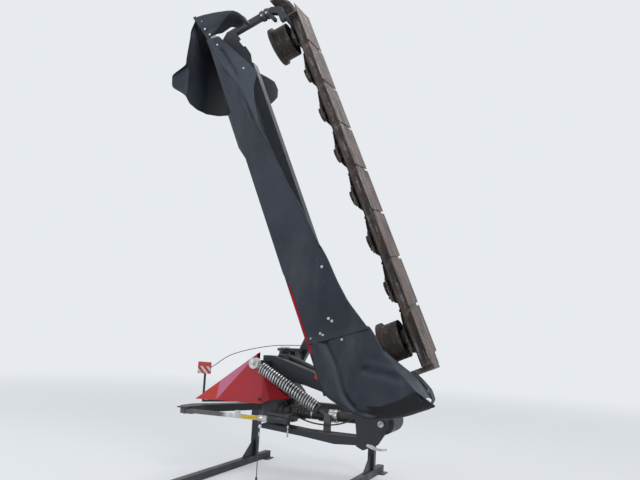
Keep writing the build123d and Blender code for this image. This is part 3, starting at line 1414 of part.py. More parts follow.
# Marker plate on a bent bar from the left socket
MARKER_X = -1037
MARKER_Y = -450
MARKER_Z = 286
MARKER_WIDTH = 142
MARKER_HEIGHT = 112
MARKER_THICK = 14
MARKER_OFFSET = 30
MARKER_ELBOW_X = -780
BAR_TUBE = 22
with BuildPart() as marker_bracket:
    with BuildLine():
        Polyline(
            (-LEG_X - SOCKET_SIZE / 2, BEAM_Y, BEAM_Z),
            (MARKER_ELBOW_X, BEAM_Y, BEAM_Z),
            (MARKER_X, MARKER_Y + MARKER_OFFSET, BEAM_Z),
            (MARKER_X, MARKER_Y + MARKER_OFFSET, MARKER_Z + MARKER_HEIGHT / 2 - 10),
        )
    with BuildSketch(Plane.YZ.offset(-LEG_X - SOCKET_SIZE / 2)):
        with Locations((BEAM_Y, BEAM_Z)):
            Circle(BAR_TUBE / 2)
    sweep(transition=Transition.RIGHT)
save(marker_bracket, "marker_bracket")

MARKER_FACE = MARKER_Y + MARKER_OFFSET - BAR_TUBE / 2 - SEAT
with BuildPart() as marker_plate:
    with BuildSketch(rear_view(MARKER_FACE)):
        with Locations((MARKER_X, MARKER_Z)):
            RectangleRounded(MARKER_WIDTH, MARKER_HEIGHT, 8)
    extrude(amount=MARKER_THICK)
save(marker_plate, "marker_plate")

# Handle of the transport latch, on the rear face of the arm's rear ear
LATCH_AT = (858, -175)
LATCH_END = (985, -190)
LATCH_THICK = 8
with BuildPart() as transport_latch:
    with BuildSketch(rear_view(REAR_EAR_Y - EAR - SEAT)):
        with BuildLine():
            Line((LATCH_AT[0] - 30, LATCH_AT[1] - 4), (LATCH_AT[0] - 24, LATCH_AT[1] + 14))
            Line((LATCH_AT[0] - 24, LATCH_AT[1] + 14), (LATCH_AT[0] + 20, LATCH_AT[1] + 10))
            ThreePointArc(
                (LATCH_AT[0] + 20, LATCH_AT[1] + 10),
                (LATCH_AT[0] + 64, LATCH_AT[1] - 10),
                (LATCH_END[0], LATCH_END[1] + 9),
            )
            ThreePointArc(
                (LATCH_END[0], LATCH_END[1] + 9),
                (LATCH_END[0] + 9, LATCH_END[1]),
                (LATCH_END[0], LATCH_END[1] - 9),
            )
            ThreePointArc(
                (LATCH_END[0], LATCH_END[1] - 9),
                (LATCH_AT[0] + 60, LATCH_AT[1] - 28),
                (LATCH_AT[0] - 30, LATCH_AT[1] - 4),
            )
        make_face()
    extrude(amount=LATCH_THICK)
save(transport_latch, "transport_latch")
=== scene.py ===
"""A disc mower for a rear three-point hitch, folded upright for transport, in a plain studio.

Lengths are in metres. +X is to the right of travel, +Y is forward and +Z is up; the floor is at z = -0.6.
On the mowing unit, "along" runs out along the cutter bar, "up" is the side that faces up at work, and y
stays as it is.
"""

import json

import bmesh
import bpy
import numpy as np
from mathutils import Matrix, Vector


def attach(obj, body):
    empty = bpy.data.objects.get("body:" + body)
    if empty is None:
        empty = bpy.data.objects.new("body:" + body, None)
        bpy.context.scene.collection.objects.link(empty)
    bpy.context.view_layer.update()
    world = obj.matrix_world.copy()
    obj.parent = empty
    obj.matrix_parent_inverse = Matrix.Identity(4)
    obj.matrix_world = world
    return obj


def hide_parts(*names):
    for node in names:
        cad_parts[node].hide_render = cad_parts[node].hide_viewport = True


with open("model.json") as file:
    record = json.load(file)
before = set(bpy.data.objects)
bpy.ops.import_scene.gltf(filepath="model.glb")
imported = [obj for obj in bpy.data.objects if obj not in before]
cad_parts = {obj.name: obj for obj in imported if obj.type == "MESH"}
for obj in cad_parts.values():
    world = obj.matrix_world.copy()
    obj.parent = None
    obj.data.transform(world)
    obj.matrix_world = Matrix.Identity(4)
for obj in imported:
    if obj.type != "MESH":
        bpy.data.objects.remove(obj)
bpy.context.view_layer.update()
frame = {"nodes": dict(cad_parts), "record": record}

FLOOR_Z = -0.6
FOLD = np.radians(113)
PIVOT = np.array([0.945, 0.0, 0.0])
ALONG = np.array([np.cos(FOLD), 0.0, np.sin(FOLD)])
UP = np.array([-np.sin(FOLD), 0.0, np.cos(FOLD)])
ACROSS = np.array([0.0, 1.0, 0.0])
RIGHT = np.array([1.0, 0.0, 0.0])
OVER = np.array([0.0, 0.0, 1.0])
put_in_scene = bpy.context.scene.collection.objects.link


# Camera and light

CAMERA_AT = (2.345, -5.97, 0.63)
CAMERA_TURN = np.radians(22)
CAMERA_LIFT = np.radians(8.706)
CAMERA_ROLL = np.radians(3)
CAMERA_LENS = 36


def place_camera():
    """Stands the camera behind the machine, turned to its left, lifted and rolled a little."""
    right = np.array([np.cos(CAMERA_TURN), np.sin(CAMERA_TURN), 0])
    level = np.array([-np.sin(CAMERA_TURN), np.cos(CAMERA_TURN), 0])
    ahead = level * np.cos(CAMERA_LIFT) + OVER * np.sin(CAMERA_LIFT)
    over = np.cross(right, ahead)
    across = right * np.cos(CAMERA_ROLL) + over * np.sin(CAMERA_ROLL)
    above = over * np.cos(CAMERA_ROLL) - right * np.sin(CAMERA_ROLL)
    data = bpy.data.cameras.new("camera")
    data.sensor_fit = "HORIZONTAL"
    data.sensor_width = data.lens = CAMERA_LENS
    camera = bpy.data.objects.new("camera", data)
    turn = Matrix((across, above, -ahead)).transposed().to_4x4()
    camera.matrix_world = Matrix.Translation(CAMERA_AT) @ turn
    put_in_scene(camera)
    bpy.context.scene.camera = camera


place_camera()


def add_area(name, at, aim, size, watts, tint):
    """A square area light that faces a point."""
    data = bpy.data.lights.new(name, "AREA")
    data.shape = "SQUARE"
    data.size = size
    data.energy = watts
    data.color = tint
    lamp = bpy.data.objects.new(name, data)
    lamp.location = at
    lamp.rotation_euler = (Vector(aim) - Vector(at)).to_track_quat("-Z", "Y").to_euler()
    put_in_scene(lamp)


add_area("key_light", (5.5, -6.5, 7), (0.3, -1, 1.2), 4, 440, (1, 0.98, 0.95))
add_area("fill_light", (-6.5, -5.5, 4), (0, -1, 1), 5, 230, (0.93, 0.96, 1))
add_area("top_light", (0, 2.5, 8.5), (0, -1, 1), 5, 290, (0.97, 0.98, 1))


# Shader expressions


class Wire:
    """A socket that takes part in sums: an expression on wires adds its Math nodes."""

    def __init__(self, look, socket):
        self.look, self.socket = look, socket

    def __add__(self, other):
        return self.look.math("ADD", self, other)

    __radd__ = __add__

    def __sub__(self, other):
        return self.look.math("SUBTRACT", self, other)

    def __rsub__(self, other):
        return self.look.math("SUBTRACT", other, self)

    def __mul__(self, other):
        return self.look.math("MULTIPLY", self, other)


class Look:
    """One material, closed by a Principled shader."""

    def __init__(self, name):
        self.material = bpy.data.materials.new(name)
        self.material.use_nodes = True
        self.nodes = self.material.node_tree.nodes
        self.links = self.material.node_tree.links
        self.nodes.clear()
        sockets = self.nodes.new("ShaderNodeTexCoord").outputs
        self.place, self.facing, self.cut = (Wire(self, sockets[name]) for name in ("Object", "Normal", "UV"))

    def node(self, kind, inputs, output=0, **settings):
        """Adds a node, sets it, fills its sockets with values or wires and gives one output."""
        made = self.nodes.new("ShaderNode" + kind)
        for key, value in settings.items():
            setattr(made, key, value)
        for key, value in inputs.items():
            if isinstance(value, Wire):
                self.links.new(value.socket, made.inputs[key])
            else:
                made.inputs[key].default_value = value
        return None if output is None else Wire(self, made.outputs[output])

    def math(self, operation, first, second):
        return self.node("Math", {0: first, 1: second}, operation=operation)

    def band(self, value, low, high, start=0, end=1):
        """Runs smoothly from start to end as the value goes from low to high."""
        limits = {"Value": value, "From Min": low, "From Max": high, "To Min": start, "To Max": end}
        return self.node("MapRange", limits, interpolation_type="SMOOTHSTEP")

    def mix(self, factor, first, second):
        """Two colours in a mix."""
        pair = [value if isinstance(value, Wire) else (*value, 1) for value in (first, second)]
        return self.node("Mix", {0: factor, 6: pair[0], 7: pair[1]}, 2, data_type="RGBA")

    def part(self, vector, direction):
        """The share of a vector in one direction."""
        return self.node("VectorMath", {0: vector, 1: tuple(direction)}, "Value", operation="DOT_PRODUCT")

    def on_bar(self, scale):
        """Places on the mowing unit as along, y and up, each times its scale."""
        parts = [self.part(self.place, d) * s for d, s in zip((ALONG, ACROSS, UP), scale)]
        return self.node("CombineXYZ", dict(enumerate(parts)))

    def noise(self, scale, detail=4, rough=0.55, where=None):
        sockets = {"Vector": where or self.place, "Scale": scale, "Detail": detail, "Roughness": rough}
        return self.node("TexNoise", sockets)

    def cells(self, scale, where=None):
        """The distance from the nearest of many scattered points."""
        return self.node("TexVoronoi", {"Vector": where or self.place, "Scale": scale}, "Distance")

    def lying(self, low=0.1, high=0.9):
        """How far a face looks upward."""
        return self.band(self.part(self.facing, OVER), low, high)

    def close(self, color, roughness, metallic=0, bump=None, height=0, constants=()):
        """Ends the material: the shader is linked to what varies and set to what doesn't."""
        sockets = {"Base Color": color, "Roughness": roughness, "Metallic": metallic, **dict(constants)}
        if bump:
            sockets["Normal"] = self.node("Bump", {"Strength": 1, "Distance": height, "Height": bump})
        self.node("OutputMaterial", {0: self.node("BsdfPrincipled", sockets)}, None)
        return self.material


# Finishes

DUST = (0.17, 0.145, 0.115)
MUD = (0.085, 0.066, 0.05)
RUST_TONES = (
    (0.074, 0.064, 0.062), (0.165, 0.128, 0.112), (0.22, 0.098, 0.05), (0.32, 0.31, 0.31),
    (0.033, 0.028, 0.027),
)


def dark_paint(look):
    """Charcoal paint: dust on what looks up, mud splashes, and rubbed places that shine a little."""
    clouds, grain = look.noise(3), look.noise(90, 3)
    paint = look.mix(clouds, (0.023, 0.029, 0.038), (0.042, 0.051, 0.064))
    splash = look.band(look.noise(14, 6, 0.7), 0.56, 0.68)
    mud = look.mix(splash * 0.7, paint, MUD)
    dust = look.lying() * look.band(look.noise(7, 5), 0.35, 0.7)
    color = look.mix(dust * 0.75 + 0.04, mud, DUST)
    rough = look.band(clouds + grain * 0.2, 0.4, 0.75, 0.38, 0.6) + splash * 0.2 + dust * 0.2
    bump = grain * 0.4 + splash * 0.6
    return look.close(color, rough, bump=bump, height=0.0008, constants={"Specular IOR Level": 0.35})


def red_paint(look, rail_end=None):
    """Red paint with painted light: faces that look up and left are painted lighter, orange-red, and past a
    line a pink painted sky reflection;
    faces that look right are painted deep red as shade; dusty near its lower edge. A rail can be painted
    near-black as shade below a place along the unit."""
    clouds, grain = look.noise(2.4), look.noise(160, 2)
    fresh = look.mix(clouds, (0.38, 0.006, 0.014), (0.47, 0.012, 0.024))
    # Painted light: faces that look up and left are painted lighter (orange-red, and pink as a painted sky
    # reflection past a line), and faces that look right are painted deep red as shade.
    painted_light_left = look.band(look.part(look.facing, (-0.62, -0.35, 0.7)), 0.72, 0.84)
    painted_shade_right = look.band(look.part(look.facing, (0.8, -0.5, 0.3)), 0.46, 0.58)
    painted_sky_sheen = painted_light_left * look.band(look.part(look.place, (0.95, 0, 0.3)), -0.575, -0.555)
    painted_lit_red = look.mix(painted_light_left * 0.6, fresh, (0.6, 0.055, 0.035))
    pale = look.mix(painted_sky_sheen * 0.75, painted_lit_red, (0.58, 0.2, 0.34))
    paint = look.mix(painted_shade_right, pale, (0.27, 0.003, 0.008))
    # Painted shade: below rail_end the rail is painted near-black where it runs under the lower cloth.
    if rail_end:
        reach = look.part(look.place, ALONG) + look.noise(12) * 0.05 - (rail_end + float(PIVOT @ ALONG))
        paint = look.mix(look.band(reach, 0.02, -0.02), paint, (0.022, 0.025, 0.03))
    height = look.part(look.place, OVER)
    low = look.band(height, 0.14, 0) * look.band(look.noise(9, 5), 0.38, 0.7)
    specks = look.band(look.cells(55), 0.1, 0.05) * look.band(look.noise(5), 0.5, 0.62)
    dusty = look.mix(low * 0.45 + look.lying(0.3, 1) * 0.06, paint, (0.26, 0.11, 0.09))
    color = look.mix(specks * 0.6, dusty, (0.16, 0.1, 0.08))
    rough = look.band(clouds, 0.3, 0.7, 0.36, 0.48) + low * 0.3
    gloss = {"Coat Weight": 0.04, "Coat Roughness": 0.12, "Specular IOR Level": 0.14}
    return look.close(color, rough, bump=grain, height=0.00015, constants=gloss)


def rusty_steel(look, shade=1):
    """Weathered steel that soil has scoured: grey-brown with rust fields, bright rubbed streaks and dark
    pits. The shade makes all of it darker."""
    tone = [tuple(shade * level for level in color) for color in RUST_TONES]
    bar = look.on_bar((1, 1, 1))
    fields, fine = look.noise(5.5, 7, 0.62, bar), look.noise(46, 6, 0.6, bar)
    streaks = look.noise(3, 6, 0.65, look.on_bar((1.2, 14, 14)))
    brown = look.mix(look.band(fields, 0.32, 0.68), tone[0], tone[1])
    rust = look.mix(look.band(fine + fields * 0.5, 0.78, 0.95) * 0.75, brown, tone[2])
    rubbed = look.band(streaks + fine * 0.25, 0.64, 0.8)
    bright = look.mix(rubbed * 0.8, rust, tone[3])
    pits = look.band(look.cells(70, bar) + fields * 0.3, 0.2, 0.12)
    color = look.mix(pits * 0.7, bright, tone[4])
    metal = rubbed * 0.5 + 0.15
    bump = fine + streaks * 0.6 - pits * 0.8
    return look.close(color, 0.78 - rubbed * 0.3, metal, bump=bump, height=0.0022)


def worn_steel(look):
    """Blade steel: dark soil film, rubbed bright at random and scored in rings."""
    fields, fine = look.noise(9, 6, 0.6), look.noise(75, 5)
    soil = look.mix(look.band(fields, 0.35, 0.65), (0.055, 0.045, 0.04), (0.125, 0.1, 0.085))
    rubbed = look.band(fine + fields * 0.4, 0.72, 0.9)
    color = look.mix(rubbed * 0.7, soil, (0.36, 0.34, 0.32))
    return look.close(color, 0.68 - rubbed * 0.28, rubbed * 0.7 + 0.15, bump=fine, height=0.0008)


def zinc_steel(look, soiled=None):
    """Zinc plate: bright, a little clouded, with dull white bloom and grime, more of it past a given x."""
    bloom, fine = look.noise(22, 5, 0.6), look.noise(190, 2)
    color = look.mix(look.band(bloom, 0.35, 0.7), (0.5, 0.5, 0.48), (0.7, 0.7, 0.68))
    grime = look.band(look.noise(10, 6, 0.7), 0.54, 0.68)
    if soiled:
        patchy = look.part(look.place, RIGHT) + look.noise(8, 5) * 0.06
        grime = look.math("MAXIMUM", grime, look.band(patchy, *soiled) * 1.45)
    dirty = look.mix(grime * 0.6, color, (0.05, 0.05, 0.05))
    rough = look.band(bloom, 0.3, 0.7, 0.28, 0.46) + grime * 0.2
    return look.close(dirty, rough, 0.85 - grime * 0.5, fine, 0.0002)


def cast_housing(look):
    """Painted castings: sandy skin, oil-dark patches and dust on the shoulders."""
    skin, clouds = look.noise(120, 4, 0.6), look.noise(4, 5)
    paint = look.mix(clouds, (0.035, 0.038, 0.043), (0.062, 0.066, 0.072))
    oil = look.band(look.noise(7, 4), 0.58, 0.66)
    oiled = look.mix(oil * 0.8, paint, (0.014, 0.013, 0.012))
    dust = look.lying() * look.band(look.noise(9, 5), 0.35, 0.65)
    color = look.mix(dust * 0.7, oiled, DUST)
    return look.close(color, 0.62 - oil * 0.3 + dust * 0.2, bump=skin, height=0.0012)


def black_plastic(look):
    """Moulded guards: matt black, greyed by sun and dust."""
    clouds, fine = look.noise(6, 4), look.noise(210, 2)
    base = look.mix(clouds, (0.016, 0.016, 0.018), (0.034, 0.034, 0.037))
    dust = look.lying(0, 1) * look.band(look.noise(11, 5), 0.3, 0.7)
    return look.close(look.mix(dust * 0.5, base, DUST), 0.5 + dust * 0.3, bump=fine, height=0.0003)


def curtain_fabric(look):
    """Rubberised cloth: a fine weave under a slate skin, with smears and dried splashes. Faces turned right
    and up get a paler blue painted sky sheen, and faces that look down are painted near black as shade.
    """
    warp, weft = (
        look.node("TexWave", {"Vector": look.cut, "Scale": 90}, bands_direction=way) for way in "XY"
    )
    clouds = look.noise(1.7, 5, 0.6)
    tall = look.node("VectorMath", {0: look.place, 1: (1, 1, 0.35)}, operation="MULTIPLY")
    smears = look.noise(5, 6, 0.62, tall)
    slate = look.mix(look.band(clouds, 0.3, 0.7), (0.019, 0.024, 0.034), (0.035, 0.042, 0.056))
    film = look.mix(look.band(smears, 0.46, 0.72) * 0.5, slate, (0.07, 0.073, 0.08))
    splash = look.band(look.cells(26), 0.13, 0.07) * look.band(look.noise(3, 3), 0.52, 0.62)
    # Painted sky sheen: faces turned right and up are painted a paler blue.
    painted_sky_sheen = look.band(look.part(look.facing, (0.58, -0.55, 0.6)), 0.62, 0.95)
    film = look.mix(painted_sky_sheen * 0.5, film, (0.062, 0.076, 0.104))
    # Painted shade: faces that look down are painted near black.
    below = look.band(look.part(look.facing, OVER), -0.12, -0.62)
    splashed = look.mix(splash * 0.5, film, (0.14, 0.125, 0.11))
    color = look.mix(below * 0.85, splashed, (0.004, 0.0045, 0.006))
    rough = look.band(smears, 0.35, 0.7, 0.46, 0.66)
    weave = (warp + weft) * 0.25 + look.noise(30, 4) * 0.5
    return look.close(color, rough, bump=weave, height=0.0008, constants={"Specular IOR Level": 0.22})


def chrome_rod(look):
    """Hard chrome with faint rings of wiped oil."""
    wiped = look.noise(18, 3)
    color = look.mix(wiped, (0.66, 0.67, 0.69), (0.76, 0.77, 0.79))
    return look.close(color, look.band(wiped, 0.3, 0.7, 0.1, 0.2), 1)


def spring_steel(look):
    """Lacquered spring wire: grey, bright where coils were rubbed, dust between them."""
    clouds, fine = look.noise(12, 5), look.noise(120, 3)
    color = look.mix(look.band(clouds, 0.35, 0.65), (0.42, 0.42, 0.43), (0.66, 0.66, 0.67))
    dust = look.band(look.noise(6, 5), 0.5, 0.7)
    return look.close(look.mix(dust * 0.4, color, DUST), dust * 0.3 + 0.28, 0.8 - dust * 0.4, fine, 0.0003)


def hose_rubber(look):
    """Black hose skin with a dusty upper side."""
    dust = look.lying(0.2, 1) * look.band(look.noise(20, 4), 0.4, 0.7)
    color = look.mix(dust * 0.5, (0.02, 0.02, 0.022), DUST)
    return look.close(color, 0.5 + dust * 0.3, bump=look.noise(150), height=0.0002)


def rope_fibre(look):
    """Dark laid rope: slanting strands and loose fibres."""
    wave = {"Vector": look.place, "Scale": 60, "Distortion": 1.5, "Detail": 2}
    lay = look.node("TexWave", wave, bands_direction="DIAGONAL")
    color = look.mix(lay, (0.035, 0.036, 0.04), (0.12, 0.12, 0.125))
    return look.close(color, 0.8, bump=lay, height=0.0008)


MARKER_STRIPE = 0.3


def marker_plastic(look):
    """Marker plate: a red upper part and a white lower one with slanting stripes, under road film."""
    height, width = look.part(look.place, OVER), look.part(look.place, RIGHT)
    slant = look.math("PINGPONG", width + height, 0.035)
    stripes = look.band(slant, 0.0165, 0.0185)
    lower = look.mix(stripes, (0.62, 0.62, 0.6), (0.5, 0.02, 0.02))
    halves = look.mix(look.band(height, MARKER_STRIPE, MARKER_STRIPE + 0.001), lower, (0.56, 0.03, 0.03))
    film = look.band(look.noise(30, 5), 0.45, 0.7)
    return look.close(look.mix(film * 0.45, halves, DUST), 0.35 + film * 0.3)


def flat_film(look, first, second, rough):
    """A plain printed or moulded colour under road film."""
    film = look.band(look.noise(45, 5, 0.65), 0.45, 0.72)
    return look.close(look.mix(film * 0.8, first, second), film * 0.3 + rough)


MADE = (
    red_paint, dark_paint, rusty_steel, worn_steel, zinc_steel, cast_housing, black_plastic, curtain_fabric,
    chrome_rod, spring_steel, hose_rubber, rope_fibre, marker_plastic,
)
FINISH = {make.__name__: make(Look(make.__name__)) for make in MADE}
YELLOW_FILM = flat_film(Look("yellow_label"), (0.72, 0.47, 0.01), (0.34, 0.25, 0.1), 0.35)
PALE_FILM = flat_film(Look("pale_label"), (0.6, 0.6, 0.58), (0.3, 0.29, 0.27), 0.35)
RED_LENS = flat_film(Look("red_lens"), (0.62, 0.03, 0.04), (0.3, 0.07, 0.06), 0.15)

DRUM_STEEL = rusty_steel(Look("drum_steel"), 0.5)
OWN_FINISH = {
    "spring_mounts": zinc_steel(Look("soiled_mounts"), (0.16, 0.3)),
    "link_bar": zinc_steel(Look("soiled_link"), (-0.36, -0.44)),
    "rear_rail": red_paint(Look("rail_paint"), 0.63),
    "bar_bracket": FINISH["rusty_steel"],
    "drum_inner": DRUM_STEEL,
    "drum_outer": DRUM_STEEL,
}

for part in frame["record"]["subparts"]:
    cad = frame["nodes"][part["node"]]
    cad.data.materials.clear()
    cad.data.materials.append(OWN_FINISH.get(part["node"], FINISH[part["material_slot"]]))


def dress(piece, finish, body, stands_for):
    """Puts a piece in the scene in its finish, on its body and in the place of the nodes it stands for."""
    put_in_scene(piece)
    if isinstance(finish, str):
        finish = FINISH[finish]
    piece.data.materials.append(finish)
    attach(piece, body)
    if stands_for:
        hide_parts(*stands_for)


# Cords: each is one spline through its route


def add_cord(name, route, radius, body, finish, stands_for=()):
    """A round cord on a quadratic spline whose control points are the route."""
    curve = bpy.data.curves.new(name, "CURVE")
    curve.dimensions = "3D"
    curve.bevel_depth = radius
    curve.bevel_resolution = 5
    curve.resolution_u = 16
    curve.use_fill_caps = True
    spline = curve.splines.new("NURBS")
    spline.points.add(len(route) - 1)
    for point, place in zip(spline.points, route):
        point.co = (*place, 1)
    spline.order_u = 3
    spline.use_endpoint_u = True
    cord = bpy.data.objects.new(name, curve)
    dress(cord, finish, body, stands_for)


LINK_Y = -1.06
HOSE_Y = -0.965
HOSE_LINE = [
    (0.048, 0.0048), (0.15, 0.0048), (0.285, -0.05), (0.44, -0.066), (0.59, -0.044), (0.705, 0.012),
    (0.757, 0.0806),
]
HOSE_ROUTE = [(x, HOSE_Y, z) for x, z in HOSE_LINE]
ROPE_ROUTE = [(-0.09, LINK_Y, z) for z in (-0.101, -0.21, -0.32, -0.43, -0.541)]
CABLE_ROUTE = [
    (-0.968, -0.436, 0.296), (-0.932, -0.44, 0.309), (-0.83, -0.38, 0.41), (-0.706, -0.31, 0.465),
    (-0.546, -0.22, 0.513), (-0.36, -0.15, 0.545), (-0.15, -0.112, 0.548),
]
add_cord("slack_hose_line", HOSE_ROUTE, 0.006, "swing", "hose_rubber", ["slack_hose"])
add_cord("marker_cable", CABLE_ROUTE, 0.0035, "headstock", "hose_rubber")


# Shapes


def unit(along, y, up):
    """Places on the mowing unit: the pivot, plus along, y and up times their directions."""
    along, y, up = (value[..., None] for value in np.broadcast_arrays(along, y, up))
    return PIVOT + along * ALONG + y * ACROSS + up * UP


def mesh_grid(rows, columns):
    """Two parameters from 0 to 1, one down the rows and one along the columns."""
    return np.meshgrid(np.linspace(0, 1, rows), np.linspace(0, 1, columns), indexing="ij")


def smooth_step(value, low, high):
    """t²·(3 - 2t), t going from 0 to 1 as the value goes from low to high."""
    t = np.clip((value - low) / (high - low), 0, 1)
    return t * t * (3 - 2 * t)


def even_line(points, count, passes):
    """Points at even steps along a broken line, each drawn a few times to the middle of its neighbours."""
    points = np.asarray(points, float)
    run = np.concatenate([[0], np.cumsum(np.linalg.norm(np.diff(points, axis=0), axis=1))])
    wanted = np.linspace(0, run[-1], count)
    line = np.stack([np.interp(wanted, run, column) for column in points.T], -1)
    for _ in range(passes):
        line[1:-1] = (line[:-2] + 2 * line[1:-1] + line[2:]) / 4
    return line


def waves(a, b, seed, low, high):
    """Slanted sine waves from long and high to short and low, about 1 high: the sum of
    sin(π·pace·(a·cos lean + b·sin lean) + start) / pace, over the sum of 1 / pace."""
    count = 7
    draw = np.random.default_rng(seed)
    pace = np.linspace(low, high, count)
    lean = draw.uniform(0, 2 * np.pi, count)
    start = draw.uniform(0, 2 * np.pi, count)
    slope = a[..., None] * np.cos(lean) * pace + b[..., None] * np.sin(lean) * pace
    return (np.sin(np.pi * slope + start) / pace).sum(-1) / (1 / pace).sum()


def crest(a, b, line, width):
    """exp(-(d / width)²), d being the distance from a broken line."""
    line = np.asarray(line, float)
    nearest = np.full(np.shape(a), np.inf)
    for first, last in zip(line, line[1:]):
        step = last - first
        share = np.clip(((a - first[0]) * step[0] + (b - first[1]) * step[1]) / (step @ step), 0, 1)
        gap = np.hypot(a - first[0] - share * step[0], b - first[1] - share * step[1])
        nearest = np.minimum(nearest, gap)
    return np.exp(-((nearest / width) ** 2))


def folded(y, along, up, folds):
    """y plus each fold's height times its crest; a fold is its height, its width and its line."""
    for height, width, line in folds:
        y = y + height * crest(along, up, line, width)
    return y


def grid_faces(rows, columns, round_columns=False):
    """Four-sided faces between neighbours of a grid, and round its columns where they close."""
    i = np.arange(rows - 1)[:, None]
    j = np.arange(columns if round_columns else columns - 1)[None, :]
    beside = (j + 1) % columns
    corners = [i * columns + j, i * columns + beside, (i + 1) * columns + beside, (i + 1) * columns + j]
    return np.stack(corners, -1).reshape(-1, 4)


def add_piece(name, points, faces, finish, body, closed=True, cut=None, smooth=True, stands_for=()):
    """One mesh in its finish, riding on a body. A closed one is welded and its faces turned outward."""
    mesh = bpy.data.meshes.new(name)
    mesh.from_pydata(np.asarray(points, float).reshape(-1, 3).tolist(), [], [list(face) for face in faces])
    if closed:
        shell = bmesh.new()
        shell.from_mesh(mesh)
        bmesh.ops.remove_doubles(shell, verts=shell.verts, dist=1e-6)
        bmesh.ops.recalc_face_normals(shell, faces=shell.faces)
        shell.to_mesh(mesh)
        shell.free()
    if cut is not None:
        corners = np.empty(len(mesh.loops), np.int32)
        mesh.loops.foreach_get("vertex_index", corners)
        mesh.uv_layers.new(name="cut").uv.foreach_set("vector", cut.reshape(-1, 2)[corners].ravel())
    mesh.polygons.foreach_set("use_smooth", np.full(len(mesh.polygons), smooth))
    piece = bpy.data.objects.new(name, mesh)
    dress(piece, finish, body, stands_for)
    return piece


def soften(piece, width):
    """Rounds the edges of a piece."""
    bevel = piece.modifiers.new("soften", "BEVEL")
    bevel.width = width
    bevel.segments = 2
    bevel.limit_method = "ANGLE"


def side_axes(axis):
    """Two directions square to an axis and to each other."""
    axis = np.asarray(axis, float) / np.linalg.norm(axis)
    helper = ACROSS if abs(axis[1]) < 0.8 else RIGHT
    side = np.cross(helper, axis)
    side /= np.linalg.norm(side)
    return axis, side, np.cross(axis, side)


def circle(count):
    """Even steps round a circle, in radians."""
    return np.linspace(0, 2 * np.pi, count, endpoint=False)


def turned(profile, at, axis, count):
    """Rings at height h and radius r of a profile: at + h·axis + r·(cos t·side + sin t·over)."""
    radius, height = np.asarray(profile, float).T
    axis, side, over = side_axes(axis)
    turn = circle(count)
    ring = np.cos(turn)[:, None] * side + np.sin(turn)[:, None] * over
    return np.asarray(at, float) + height[:, None, None] * axis + radius[:, None, None] * ring


def add_turned(name, profile, at, axis, finish, body, count=40, stands_for=()):
    """A closed turned piece; its profile starts and ends on the axis, or closes on itself."""
    points = turned(profile, at, axis, count)
    faces = grid_faces(len(profile), count, True)
    return add_piece(name, points, faces, finish, body, stands_for=stands_for)


def tube(path, radius, count, reference):
    """Rings square to a path: path + r·(cos t·side + sin t·over), side being square to the reference."""
    ahead = np.gradient(path, axis=0)
    ahead /= np.linalg.norm(ahead, axis=1)[:, None]
    side = np.cross(reference, ahead)
    side /= np.linalg.norm(side, axis=1)[:, None]
    over = np.cross(ahead, side)
    turn = circle(count)[:, None]
    ring = np.cos(turn) * side[:, None, :] + np.sin(turn) * over[:, None, :]
    return path[:, None, :] + radius * ring


def add_plate(name, outline, y, thick, finish, body, round_by=0.0015):
    """A flat plate square to y: an outline, its copy a thickness away and walls between. The outline is in x
    and z, or in along and up on the mowing unit."""
    first, second = np.array(outline).T
    if body == "mower":
        near = unit(first, y, second)
    else:
        near = np.stack([first, np.full(len(first), y), second], -1)
    count = len(near)
    ring = np.arange(count)
    after = (ring + 1) % count
    faces = [ring[::-1], ring + count, *np.stack([ring, after, after + count, ring + count], -1)]
    points = np.concatenate([near, near + thick * ACROSS])
    soften(add_piece(name, points, faces, finish, body, smooth=False), round_by)


def add_bolts(name, places, facing, size, body, finish="zinc_steel"):
    """Bolt heads: a washer turned in 20 steps and a domed hexagon in 6, copied to every place."""
    places = np.atleast_2d(np.asarray(places, float))
    washer = [(0, 0), (1.15, 0), (1.15, 0.14), (1.05, 0.2), (0, 0.2)]
    head = [(0, 0.18), (0.62, 0.18), (0.62, 0.62), (0.54, 0.72), (0.3, 0.77), (0, 0.78)]
    points, faces, used = [], [], 0
    for profile, sides in ((washer, 20), (head, 6)):
        flat = turned(profile, (0, 0, 0), facing, sides).reshape(-1, 3) * size
        points.append((places[:, None, :] + flat[None]).reshape(-1, 3))
        shift = used + np.arange(len(places))[:, None, None] * len(flat)
        faces.append((grid_faces(len(profile), sides, True)[None] + shift).reshape(-1, 4))
        used += len(places) * len(flat)
    add_piece(name, np.concatenate(points), np.concatenate(faces), finish, body, smooth=False)


def bolt_cloth(name, places, depth, size, finish="zinc_steel"):
    """Bolts at places in along and up on the mowing unit, sunk a little into cloth of a given depth."""
    along, up = np.array(places).T
    add_bolts(name, unit(along, depth(along, up) - 0.0018, up), -ACROSS, size, "mower", finish)


def metres(points):
    """A cloth's own measure: the mean run of its rows and of its columns, in metres."""
    down = np.linalg.norm(np.diff(points, axis=0), axis=2).mean(1)
    over = np.linalg.norm(np.diff(points, axis=1), axis=2).mean(0)
    runs = [np.concatenate([[0], np.cumsum(steps)]) for steps in (over, down)]
    return np.stack(np.meshgrid(*runs), -1)


def add_cloth(name, points, stands_for=(), thickness=0.004, body="mower"):
    """Cloth from a grid of points, with a wall as thick as the cloth."""
    faces = grid_faces(*points.shape[:2])
    kind = {"closed": False, "cut": metres(points), "stands_for": stands_for}
    piece = add_piece(name, points, faces, "curtain_fabric", body, **kind)
    wall = piece.modifiers.new("wall", "SOLIDIFY")
    wall.thickness = thickness
    wall.offset = 0


# Cloth on the mowing unit

